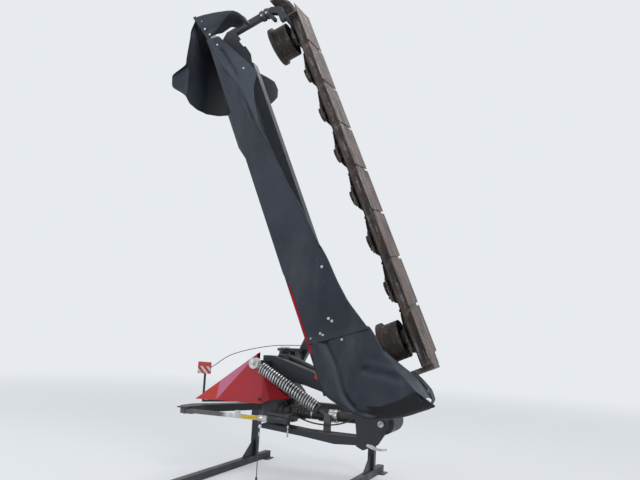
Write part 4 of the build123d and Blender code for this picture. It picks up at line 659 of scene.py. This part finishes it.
RAIL_UP = 0.082
OUTER_END = 3.29
CURTAIN_Y = -1.77
CURTAIN_DROP = 0.47
FREE_EDGE = even_line(
    [
        (0.012, -0.575), (0.161, -0.507), (0.271, -0.463), (0.377, -0.416), (0.57, -0.39), (0.648, -0.354),
        (0.848, -0.29), (1.016, -0.265), (1.189, -0.253), (1.381, -0.219), (1.594, -0.202), (1.826, -0.158),
        (2.058, -0.13), (2.201, -0.122), (2.336, -0.088), (2.6, -0.1), (2.745, -0.125), (2.884, -0.178),
        (3.01, -0.12), (3.16, -0.05), (3.29, 0.01),
    ],
    240, 6,
)
CREASE = [(1.3, -0.235), (1.819, -0.164), (2.179, -0.126), (2.369, -0.08), (2.68, -0.045), (2.83, -0.022)]
CREASE_TOP = [(3.015, 0.045), (3.29, 0.1)]
HEAD_LINE = np.array([(0.6, 0.082), (1.05, 0.082), (1.22, 0.106), (3.29, 0.106)])
SEAM = np.array([(0.664, 0.082), (0.651, -0.013), (0.631, -0.187), (0.612, -0.4)])
CURTAIN_FOLDS = (
    (-0.015, 0.017, CREASE + CREASE_TOP),
    (0.017, 0.018, [(3.15, 0.03), (2.95, -0.012), (2.74, -0.034), (2.45, -0.052)]),
    (0.008, 0.014, [(3.16, 0.06), (2.98, 0.05), (2.7, 0.03)]),
    (-0.006, 0.05, [(1.15, -0.19), (0.95, -0.1), (0.8, 0)]),
)


def curtain_depth(along, up):
    """y of the rear curtain: long waves, a soft bend past the crease line, and the folds."""
    line = np.array(CREASE + CREASE_TOP)
    past = np.clip(np.interp(along, line[:, 0], line[:, 1]) - up, 0, None)
    bend = past * 0.72 * smooth_step(along, 2.05, 2.6) * (1 - 0.6 * smooth_step(along, 3, OUTER_END))
    hang = smooth_step(RAIL_UP - up, 0.02, 0.3)
    y = CURTAIN_Y - 0.0035 * waves(along, up, 4, 1, 6) * (0.4 + hang)
    y = y - 0.01 * hang * waves(along, up, 9, 0.6, 2.2)
    return folded(y, along, up, CURTAIN_FOLDS) + bend


def upper_curtain():
    """The long rear curtain. At (s, v), along runs from the seam to the outer end by s, and up from the rail
    to the free edge by v; y is the curtain's depth, with the seam's edge lapped over the lower cloth."""
    v, s = mesh_grid(44, 300)
    start = np.interp(RAIL_UP - v * CURTAIN_DROP, SEAM[::-1, 1], SEAM[::-1, 0])
    along = start + s * (OUTER_END - start)
    low = np.interp(along, FREE_EDGE[:, 0], FREE_EDGE[:, 1])
    head = np.interp(along, HEAD_LINE[:, 0], HEAD_LINE[:, 1])
    up = head + v * (low - head)
    lap = 0.008 * (1 - smooth_step(along - start, 0, 0.06))
    return unit(along, curtain_depth(along, up) - lap, up)


add_cloth("rear_curtain_cloth", upper_curtain(), ["rear_curtain"])

BOOT_RIM = even_line(
    [
        (0.69, 0.086), (0.6, 0.088), (0.5, 0.104), (0.4, 0.104), (0.3, 0.096), (0.24, 0.05),
        (0.128, -0.054), (0.054, -0.157), (0.008, -0.268), (-0.004, -0.4), (-0.004, -0.485),
        (0.002, -0.577),
    ],
    90, 5,
)
BOOT_EDGE = even_line(
    [
        (0.69, 0.078), (0.675, -0.013), (0.655, -0.187), (0.64, -0.372), (0.57, -0.39), (0.377, -0.416),
        (0.271, -0.463), (0.161, -0.507), (0.012, -0.578),
    ],
    90, 3,
)
BOOT_FOLDS = (
    # the valley and the roll along the rim, then the ridge, the star, the pleat and the rise beside it
    (0.019, 0.02, [(0.66, -0.03), (0.469, -0.057), (0.26, -0.05), (0.129, -0.092), (0.07, -0.19)]),
    (-0.012, 0.03, [(0.66, 0.035), (0.45, 0.012), (0.28, 0), (0.15, -0.055), (0.08, -0.15), (0.04, -0.25)]),
    (-0.011, 0.03, [(0.56, -0.213), (0.408, -0.128), (0.286, -0.088), (0.201, -0.105)]),
    (0.006, 0.024, [(0.405, -0.338), (0.371, -0.295), (0.366, -0.249)]),
    (0.01, 0.032, [(0.366, -0.249), (0.298, -0.364), (0.224, -0.46)]),
    (-0.008, 0.03, [(0.4, -0.25), (0.3, -0.42)]),
)
BOOT_TURN = np.array(
    [(0.108, -0.6), (0.126, -0.493), (0.108, -0.386), (0.11, -0.256), (0.15, -0.17), (0.16, 0.2)]
)
BOOT_CORNER = 0.03
BOOT_LIP = 0.035
BOOT_FRONT_Y = -1.25


def boot_depth(along, up):
    """y of the lower cloth: a wide bulge as a bell curve, waves, the folds, and turned under below."""
    belly = np.exp(-(((along - 0.33) / 0.3) ** 2) - ((up + 0.2) / 0.2) ** 2)
    y = CURTAIN_Y + 0.004 - 0.034 * belly - 0.004 * waves(along, up, 21, 1.5, 6)
    under = np.clip(np.interp(up, BOOT_TURN[:, 1], BOOT_TURN[:, 0]) - along, 0, None)
    return folded(y, along, up, BOOT_FOLDS) + 0.95 * under * smooth_step(-up, 0.12, 0.26)


def lower_boot():
    """The cloth round the inner end. At (p, w) it comes back along the rim from its front edge, turns a round
    corner and crosses to the seam and free edge: plan = rim + w·(edge - rim), y being the boot's depth."""
    p, w = mesh_grid(len(BOOT_RIM), 64)
    w = w**1.35
    reach = BOOT_EDGE - BOOT_RIM
    along, up = (BOOT_RIM[:, k, None] + w * reach[:, k, None] for k in range(2))
    gap = w * np.linalg.norm(reach, axis=1)[:, None]
    short = np.clip(BOOT_CORNER - gap, 0, BOOT_CORNER)
    panel_y = boot_depth(along, up) + BOOT_CORNER - np.sqrt(BOOT_CORNER**2 - short**2)
    side, forward = mesh_grid(len(BOOT_RIM), 16)
    deep = smooth_step(0.42 - BOOT_RIM[:, 0], 0, 0.16)[:, None]
    trim = 0.4 * smooth_step(-BOOT_RIM[:, 1], 0.36, 0.58)[:, None]
    front_y = (panel_y[:, :1] + BOOT_LIP) * (1 - deep) + (BOOT_FRONT_Y - trim) * deep
    strip_y = front_y + (panel_y[:, :1] - front_y) * forward
    sway = 0.01 * deep * (1 - forward) * waves(side * 1.2, forward * 0.6, 5, 1, 5)
    strip = unit(BOOT_RIM[:, 0, None] - sway, strip_y, BOOT_RIM[:, 1, None] + sway * 0.4)
    return np.concatenate([strip[:, :-1], unit(along, panel_y, up)], 1)


add_cloth("inner_apron_cloth", lower_boot(), ["inner_apron"])

LOOP_LINE = even_line(
    [
        (0.33, -0.332), (0.246, -0.364), (0.154, -0.408), (0.085, -0.428), (0.024, -0.44), (0.01, -0.47),
        (0.04, -0.51), (0.114, -0.512), (0.2, -0.478), (0.27, -0.44),
    ],
    90, 4,
)


def loose_loop():
    """A strap of cloth that folds back on itself: a line in the unit's side view, carried forward by w."""
    p, w = mesh_grid(len(LOOP_LINE), 9)
    y = -1.345 + w * 0.095 + 0.006 * np.sin(5 * p)
    return unit(LOOP_LINE[:, 0, None] + 0 * w, y, LOOP_LINE[:, 1, None] + 0.004 * np.sin(np.pi * w))


add_cloth("apron_loop", loose_loop(), thickness=0.007)


def inner_fold():
    """The cloth that shows past the boot's free edge: from that edge forward to the loop by w, and out along
    it by s, sagging between."""
    w, s = mesh_grid(26, 40)
    back = np.stack([0.455 - 0.4 * s, -0.385 - 0.145 * s], -1)
    front = np.stack([0.355 - 0.31 * s, -0.335 - 0.155 * s - 0.045 * np.sin(np.pi * s)], -1)
    plan = back + w[..., None] * (front - back)
    sag = 0.018 * np.sin(np.pi * w) + 0.007 * waves(w, s * 1.5, 31, 1, 5)
    return unit(plan[..., 0] + sag, -1.745 + w * 0.47, plan[..., 1] - sag * 0.5)


add_cloth("apron_inner_fold", inner_fold())

CANOPY_FRONT = -0.98
CANOPY_WIDTH = 0.78
RIDGE_Y = -1.15
RIB_FIRST = 0.355
RIB_PITCH = 0.962


def front_curtain():
    """A short strip below the front rail: up falls by v, and y sways a little with long waves."""
    v, s = mesh_grid(10, 260)
    along = 0.34 + s * (OUTER_END - 0.34)
    up = 0.08 - v * 0.052
    return unit(along, CANOPY_FRONT + 0.008 + 0.003 * v * waves(along, up, 14, 1, 6), up)


def canopy_top():
    """The cloth over the ribs: up crowns over the ridge as two bowed slopes, with shallow dips between the
    ribs."""
    v, s = mesh_grid(60, 260)
    along = 0.302 + s * (OUTER_END - 0.302)
    y = CANOPY_FRONT - v * CANOPY_WIDTH
    front_slope = (CANOPY_FRONT - y) / (CANOPY_FRONT - RIDGE_Y)
    rear_slope = (y - CANOPY_FRONT + CANOPY_WIDTH) / (RIDGE_Y - CANOPY_FRONT + CANOPY_WIDTH)
    slope = np.where(y > RIDGE_Y, front_slope, rear_slope)
    crown = 0.03 * np.sin(0.5 * np.pi * np.clip(slope, 0, 1))
    dip = 0.004 * (1 - np.cos(2 * np.pi * (along - RIB_FIRST) / RIB_PITCH)) * np.sin(np.pi * v)
    return unit(along, y, 0.1032 + crown - dip + 0.0015 * waves(along, y, 3, 1, 7))


add_cloth("front_curtain_cloth", front_curtain(), ["front_curtain"])
add_cloth("top_cloth_skin", canopy_top(), ["top_cloth"])


# Flap and hood at the outer end

FLAP_X = -0.593
FLAP_TOP = 3.214
FLAP_REAR = -1.736
FLAP_LOW = even_line(
    [
        (-1.736, -0.5), (-1.728, -0.58), (-1.704, -0.655), (-1.65, -0.705), (-1.56, -0.732),
        (-1.45, -0.732), (-1.25, -0.68), (-0.96, -0.565), (-0.7, -0.425), (-0.52, -0.3), (-0.42, -0.2),
    ],
    260, 4,
)
FLAP_HIGH = np.array(
    [(FLAP_REAR, 0), (-1, 0), (-0.985, -0.055), (-0.9, -0.062), (-0.5, -0.066), (-0.42, -0.12)]
)


def flap():
    """The outer flap hangs plumb from its rod. At (s, v), y runs forward by s and z from the rod to the low
    edge by v; x turns out in a narrow hem at the rear edge and in a curled ear at the rear corner, and in
    towards the front."""
    v, s = mesh_grid(96, len(FLAP_LOW))
    y = np.broadcast_to(FLAP_LOW[:, 0], v.shape)
    top = np.interp(y, FLAP_HIGH[:, 0], FLAP_HIGH[:, 1])
    drop = top + v * (FLAP_LOW[:, 1] - top)
    hang = smooth_step(-drop, 0.03, 0.35) * smooth_step(y, FLAP_REAR, -1.6)
    wide = 0.05 + 0.25 * smooth_step(-drop, 0.12, 0.4)
    hem = 0.034 * smooth_step(-drop, 0, 0.12) + 0.02 * smooth_step(-drop, 0.12, 0.38)
    hem = hem * smooth_step((FLAP_REAR - y) / wide, -1, 0)
    ear = smooth_step(-drop, 0.385, 0.49) * (1 - 0.9 * smooth_step(-drop, 0.56, 0.72))
    ear = ear * smooth_step(-y, 1.694, 1.731)
    front = smooth_step(y, -1.15, -0.42)
    x = FLAP_X - hem - 0.125 * ear + 0.15 * front + 0.012 * hang * waves(y, drop, 17, 0.8, 4)
    return np.stack([x, y, FLAP_TOP + drop], -1)


add_cloth("outer_flap_cloth", flap(), ["outer_flap"], body="flap")

HOOD_OUTER = [
    (3.56, 0.158), (3.54, 0.081), (3.505, -0.018), (3.451, -0.139), (3.406, -0.212), (3.327, -0.255),
    (3.235, -0.279),
]
HOOD_INNER = [
    (3.318, 0.09), (3.322, 0.022), (3.318, -0.018), (3.338, -0.106), (3.3, -0.205), (3.268, -0.232),
    (3.225, -0.264),
]
HOOD_CREASE = np.array([(3.338, 0.03), (3.42, -0.18)])


def hood_side():
    """The hood's rear side: from an outer to an inner curved edge by w. It bulges a little, and past a crease
    on the inner side it is turned under, forward by as much as it lies past the crease."""
    outer, inner = even_line(HOOD_OUTER, 110, 8), even_line(HOOD_INNER, 110, 8)
    p, w = mesh_grid(110, 44)
    plan = outer[:, None] + w[..., None] * (inner - outer)[:, None]
    y = -1.755 - 0.014 * np.sin(np.pi * np.clip(w * 1.3, 0, 1)) + 0.003 * waves(p * 2, w, 8, 1, 4)
    run = HOOD_CREASE[1] - HOOD_CREASE[0]
    across = np.array([run[1], -run[0]]) / np.linalg.norm(run)
    past = np.clip((plan - HOOD_CREASE[0]) @ across, 0, 0.075) * (1 - smooth_step(p, 0.62, 0.95))
    return unit(plan[..., 0], y + 1.1 * past, plan[..., 1])


def hood_roof():
    """The hood's roof: from the canopy's end out to the rod by s, bowed up in the middle, and across from
    rear to front by w."""
    w, s = mesh_grid(40, 24)
    bow = np.sin(np.pi * s)
    up = 0.1035 + s * 0.0375 + 0.006 * bow + 0.003 * waves(w * 2, s, 12, 1, 4) * bow
    return unit(3.292 + s * 0.25, -1.746 + w * 0.742, up)


add_cloth("end_hood_side", hood_side(), ["end_hood"])
add_cloth("end_hood_roof", hood_roof(), ["end_hood"])

CURTAIN_BOLTS = [
    (3.216, 0.042), (2.94, -0.086), (1.147, -0.193), (0.786, -0.114), (0.76, -0.132), (0.709, -0.022),
    (0.69, -0.036), (0.699, 0.058),
]
EDGE_BOLTS = [(2.88, 0.066), (2.389, 0.067), (1.852, 0.068), (1.402, 0.062), (0.96, 0.064)]
bolt_cloth("curtain_bolts", CURTAIN_BOLTS, curtain_depth, 0.0085)
bolt_cloth("edge_bolts", EDGE_BOLTS, curtain_depth, 0.0085, "dark_paint")
bolt_cloth("boot_bolts", [(0.615, -0.16)], boot_depth, 0.0075)
bolt_cloth("strip_bolts", [(0.52, 0.052), (0.38, 0.034)], boot_depth, 0.0075, "dark_paint")
hood_bolts_at = unit(np.array([3.48, 3.4, 3.33]), -1.7665, np.array([0.1, 0.095, 0.07]))
add_bolts("hood_bolts", hood_bolts_at, -ACROSS, 0.008, "mower")


# Suspension spring: the coil and the tube inside it

SPRING_TOP = np.array([-0.235, -0.931, 0.387])
SPRING_REACH = np.array([0.635, 0, -0.349])
SPRING_AXIS = SPRING_REACH / np.linalg.norm(SPRING_REACH)
SPRING_START = 0.062
SPRING_RUN = np.linalg.norm(SPRING_REACH) - 0.11
COIL_TURNS = 24
COIL_R = 0.0448
WIRE_R = 0.008
WIRE_SIDES = 10


def coil():
    """A round wire on a helix: centre + rise·axis + r·(cos t·side + sin t·over), with close end turns."""
    t = np.linspace(0, 1, COIL_TURNS * 30)
    close = 0.5 - 0.5 * np.cos(np.pi * t)
    axis, side, over = side_axes(SPRING_AXIS)
    rise = WIRE_R + (SPRING_RUN - 2 * WIRE_R) * (0.88 * t + 0.12 * close)
    angle = 2 * np.pi * COIL_TURNS * t
    centre = SPRING_TOP + (SPRING_START + rise)[:, None] * axis
    line = centre + COIL_R * (np.cos(angle)[:, None] * side + np.sin(angle)[:, None] * over)
    ends = [np.repeat(end[:, None], WIRE_SIDES, 1) for end in (line[:1], line[-1:])]
    return np.concatenate([ends[0], tube(line, WIRE_R, WIRE_SIDES, axis), ends[1]])


coil_points = coil()
coil_faces = grid_faces(len(coil_points), WIRE_SIDES, True)
SPRING = ["suspension_spring"]
add_piece("suspension_coil", coil_points, coil_faces, "spring_steel", "swing", stands_for=SPRING)
add_turned(
    "suspension_tube",
    [(0, 0), (0.035, 0), (0.035, 0.6), (0.028, 0.606), (0.028, SPRING_RUN), (0, SPRING_RUN)],
    SPRING_TOP + SPRING_START * SPRING_AXIS, SPRING_AXIS, "black_plastic", "swing",
)
add_bolts("spring_bolt", SPRING_TOP - 0.035 * ACROSS, -ACROSS, 0.02, "swing")


# Faceted guard over the gearbox

GUARD_CORNERS = {
    "left": (-0.905, -0.772, 0.024),
    "rear_left": (-0.613, -0.903, 0.046),
    "rear": (-0.128, -0.99, 0.058),
    "rear_bow": (-0.05, -0.978, 0.094),
    "right_rear": (0.11, -0.95, 0.12),
    "right_front": (0.11, -0.772, 0.12),
    "peak": (-0.287, -0.792, 0.468),
    "peak_front": (-0.27, -0.772, 0.48),
    "shoulder": (-0.27, -0.843, 0.352),
    "shoulder_front": (-0.27, -0.772, 0.352),
    "slope": (-0.17, -0.889, 0.285),
    "slope_front": (-0.17, -0.772, 0.285),
}
GUARD_FACETS = (
    ("left", "rear_left", "peak"),
    ("left", "peak", "peak_front"),
    ("rear_left", "rear", "slope", "shoulder", "peak"),
    ("rear", "rear_bow", "slope"),
    ("rear_bow", "right_rear", "slope"),
    ("slope", "right_rear", "right_front", "slope_front"),
    ("shoulder", "slope", "slope_front", "shoulder_front"),
    ("peak", "shoulder", "shoulder_front", "peak_front"),
)
GUARD_FACING = np.array([-0.17, -0.91, 0.375])


def add_guard():
    """Sheet steel in flat facets between twelve corners, open in front and below, with rounded folds."""
    names = list(GUARD_CORNERS)
    facets = [[names.index(corner) for corner in facet] for facet in GUARD_FACETS]
    kind = {"closed": False, "smooth": False, "stands_for": ["gearbox_guard"]}
    guard = add_piece("gearbox_cover", list(GUARD_CORNERS.values()), facets, "red_paint", "swing", **kind)
    wall = guard.modifiers.new("wall", "SOLIDIFY")
    wall.thickness = 0.004
    soften(guard, 0.0025)


add_guard()


# Bellows on the unit's drive shaft

SHAFT_Y = -0.85
BELLOWS_PITCH = 0.028
NECK_R = 0.0365
COLLAR_R = 0.0378
fold_height = np.linspace(0, 4 * BELLOWS_PITCH, 57)
fold_radius = 0.038 + 0.0078 * np.abs(np.sin(np.pi * fold_height / BELLOWS_PITCH)) ** 0.7
bellows_profile = [
    (0, 0),
    *zip(fold_radius, fold_height),
    (NECK_R, 0.118), (NECK_R, 0.18), (COLLAR_R, 0.184), (COLLAR_R, 0.2), (NECK_R, 0.204),
    (NECK_R, 0.3), (COLLAR_R, 0.306), (COLLAR_R, 0.3315), (0, 0.3315),
]
bellows_at = unit(0.098, SHAFT_Y, -0.045)
add_turned(
    "shaft_bellows", bellows_profile, bellows_at, ALONG, "black_plastic", "mower", 56,
    stands_for=["unit_shaft_guard"],
)


# Bolts of the knives and the hubs: how many, their circle's radius, how far up and their size

DISC_COUNT = 8
DISC_Y = -1.13
DISC_FIRST = 0.54
DISC_PITCH = 0.4
DISC_BOLTS = {"knife_bolts": (3, 0.205, -0.4738, 0.016), "hub_bolts": (6, 0.079, -0.4558, 0.0075)}
for number in range(DISC_COUNT):
    for name, (count, radius, up, size) in DISC_BOLTS.items():
        turn = circle(count)
        along = DISC_FIRST + DISC_PITCH * number + radius * np.cos(turn)
        places = unit(along, DISC_Y + radius * np.sin(turn), up)
        add_bolts(f"{name}_{number + 1}", places, UP, size, f"disc_{number + 1}_body", "worn_steel")


# Small things on the frame and the arm


def add_rope_pieces():
    """A knot at the rope's low end, a band of pale tape and an eye at its top, all turned about the rope."""
    x, y = ROPE_ROUTE[0][:2]
    knot = [
        (0, 0), (0.0045, 0.002), (0.0092, 0.009), (0.0105, 0.017), (0.0085, 0.026), (0.0045, 0.032),
        (0, 0.033),
    ]
    tape = [(0, 0), (0.0058, 0.0005), (0.0062, 0.004), (0.006, 0.03), (0.0056, 0.0345), (0, 0.035)]
    eye = [
        (0, 0), (0.006, 0), (0.009, 0.004), (0.009, 0.012), (0.0055, 0.018), (0.0055, 0.03), (0, 0.03),
    ]
    pieces = (
        ("rope_knot", knot, -0.548, "rope_fibre"),
        ("rope_tape", tape, -0.195, "zinc_steel"),
        ("rope_eye", eye, -0.128, "chrome_rod"),
    )
    return [
        add_turned(name, profile, (x, y, z), OVER, finish, "link_sleeve_body", 24)
        for name, profile, z, finish in pieces
    ]


add_rope_pieces()
add_cord("pull_rope_line", ROPE_ROUTE, 0.0035, "link_sleeve_body", "rope_fibre", ["pull_rope"])

HITCH_BOLTS = [(x, -0.1615, z) for x in (-0.452, 0.452) for z in (0, -0.055)]
add_bolts("hitch_bolts", HITCH_BOLTS, -ACROSS, 0.011, "headstock")

LINK_FACE = -1.0662
add_plate(
    "link_label",
    [(-0.265, -0.0655), (-0.115, -0.0655), (-0.115, -0.0345), (-0.265, -0.0345)],
    LINK_FACE, -0.0008, YELLOW_FILM, "link_bar_body", 0.0002,
)
add_plate(
    "link_tag",
    [(-0.324, -0.035), (-0.275, -0.034), (-0.275, -0.002), (-0.324, -0.004)],
    LINK_FACE, 0.004, PALE_FILM, "link_bar_body", 0.0008,
)
add_turned(
    "sleeve_band",
    [(0.0245, 0), (0.0262, 0), (0.0262, 0.088), (0.0245, 0.088), (0.0245, 0)],
    (-0.1052, LINK_Y, -0.05), RIGHT, "zinc_steel", "link_sleeve_body",
)
add_turned(
    "hanging_pin",
    [
        (0, 0), (0.005, 0), (0.007, 0.003), (0.007, 0.048), (0.0045, 0.053), (0.0045, 0.07), (0.009, 0.075),
        (0.009, 0.088), (0.0045, 0.093), (0.0045, 0.112), (0, 0.112),
    ],
    (0.166, LINK_Y, -0.176), OVER, "zinc_steel", "link_sleeve_body", 24,
)
add_turned(
    "arm_clamp",
    [
        (0, -0.046), (0.034, -0.046), (0.044, -0.04), (0.048, -0.012), (0.041, -0.006), (0.041, 0.006),
        (0.048, 0.012), (0.044, 0.04), (0.034, 0.046), (0, 0.046),
    ],
    unit(3.47, -1.44, -0.345), UP, "cast_housing", "mower",
)
clamp_bolts_at = unit(3.452, -1.489, np.array([-0.322, -0.368]))
add_bolts("clamp_bolts", clamp_bolts_at, -ACROSS, 0.009, "mower")
add_plate(
    "clamp_lug",
    [(3.448, -0.362), (3.372, -0.392), (3.362, -0.414), (3.388, -0.424), (3.448, -0.4)],
    -1.462, 0.04, "dark_paint", "mower",
)
add_plate(
    "end_bracket",
    [
        (3.444, 0.072), (3.446, -0.05), (3.37, -0.07), (3.36, -0.05), (3.29, -0.072), (3.28, -0.092),
        (3.19, -0.112), (3.11, -0.096), (3.06, -0.04), (3.06, 0.072),
    ],
    -1.466, 0.012, "dark_paint", "mower",
)
add_plate(
    "top_stiffener",
    [(2.605, 0.1), (2.585, 0.138), (2.29, 0.137), (2.19, 0.112), (2.18, 0.1)],
    -1.764, 0.005, "dark_paint", "mower",
)
add_plate(
    "arm_reflector",
    [(0.258, 0.287), (0.318, 0.271), (0.318, 0.313), (0.264, 0.327)],
    -0.7703, -0.006, RED_LENS, "swing",
)


def guard_sleeve(name, start, length, radius, finish, crinkle=0):
    """A sleeve round the drive shaft's guard: its radius is even, or crinkled by slanted waves round and
    along it."""
    height = np.array([0, *np.linspace(0, length, 15), length])
    profile = [(radius * (0 < row < len(height) - 1), h) for row, h in enumerate(height)]
    sides = 64
    points = turned(profile, (start, SHAFT_Y, 0), RIGHT, sides)
    run, turn = np.meshgrid(height, circle(sides), indexing="ij")
    slant = waves(2 * np.cos(turn) + 3 * run / length, 2 * np.sin(turn), 6, 1, 4)
    centre = np.array([0, SHAFT_Y, 0]) + points * RIGHT
    points = centre + (points - centre) * (1 + crinkle * slant)[..., None]
    add_piece(name, points, grid_faces(len(profile), sides, True), finish, "swing")


guard_sleeve("shaft_sleeve", 0.446, 0.078, 0.053, "zinc_steel", 0.05)
for k, start in enumerate((0.158, 0.186, 0.214)):
    guard_sleeve(f"shaft_ring_{k + 1}", start, 0.013, 0.05, "black_plastic")
guard_sleeve("shaft_clamp", 0.292, 0.01, 0.044, "zinc_steel")
add_bolts("guard_bolt", (-0.155, -0.98, 0.098), GUARD_FACING, 0.013, "swing", "dark_paint")


# World, floor and background: pale to the camera and in reflections, with plain light on the machine

PALE = (0.8, 0.83, 0.86, 1)


class Stage(Look):
    """Nodes of the world or of the floor, which close on shaders of their own."""

    def __init__(self, tree):
        self.nodes, self.links = tree.nodes, tree.links
        self.nodes.clear()

    def seen(self):
        """1 for rays from the camera and for those in reflections and through glass."""
        ray = self.node("LightPath", {}, "Is Camera Ray")
        sockets = ray.socket.node.outputs
        glossy, glass = (Wire(self, sockets[name]) for name in ("Is Glossy Ray", "Is Transmission Ray"))
        return self.math("MAXIMUM", ray, self.math("MAXIMUM", glossy, glass))


world = bpy.data.worlds.new("studio")
bpy.context.scene.world = world
world.use_nodes = True
sky = Stage(world.node_tree)
dim = sky.node("Background", {"Color": (0.86, 0.92, 1, 1), "Strength": 0.42})
pale = sky.node("Background", {"Color": PALE, "Strength": 1})
either = sky.node("MixShader", {0: sky.seen(), 1: dim, 2: pale})
sky.node("OutputWorld", {0: either}, None)

ground = bpy.data.materials.new("pale_floor")
ground.use_nodes = True
soil = Stage(ground.node_tree)
coordinates = soil.node("TexCoord", {}, "Object")
away = soil.node("VectorMath", {0: coordinates}, "Value", operation="LENGTH")
matt = soil.node("BsdfDiffuse", {"Color": (0.78, 0.79, 0.8, 1)})
glow = soil.node("Emission", {"Color": PALE, "Strength": 1})
share = soil.seen() * soil.band(away, 2, 14, 0.45, 1)
floor_mix = soil.node("MixShader", {0: share, 1: matt, 2: glow})
soil.node("OutputMaterial", {0: floor_mix}, None)

FLOOR_HALF = 60
FLOOR_CORNERS = [(x * FLOOR_HALF, y * FLOOR_HALF, FLOOR_Z) for x, y in ((-1, -1), (1, -1), (1, 1), (-1, 1))]
floor_mesh = bpy.data.meshes.new("floor")
floor_mesh.from_pydata(FLOOR_CORNERS, [], [(0, 1, 2, 3)])
floor = bpy.data.objects.new("floor", floor_mesh)
floor_mesh.materials.append(ground)
put_in_scene(floor)

bpy.context.scene.view_settings.view_transform = "Standard"
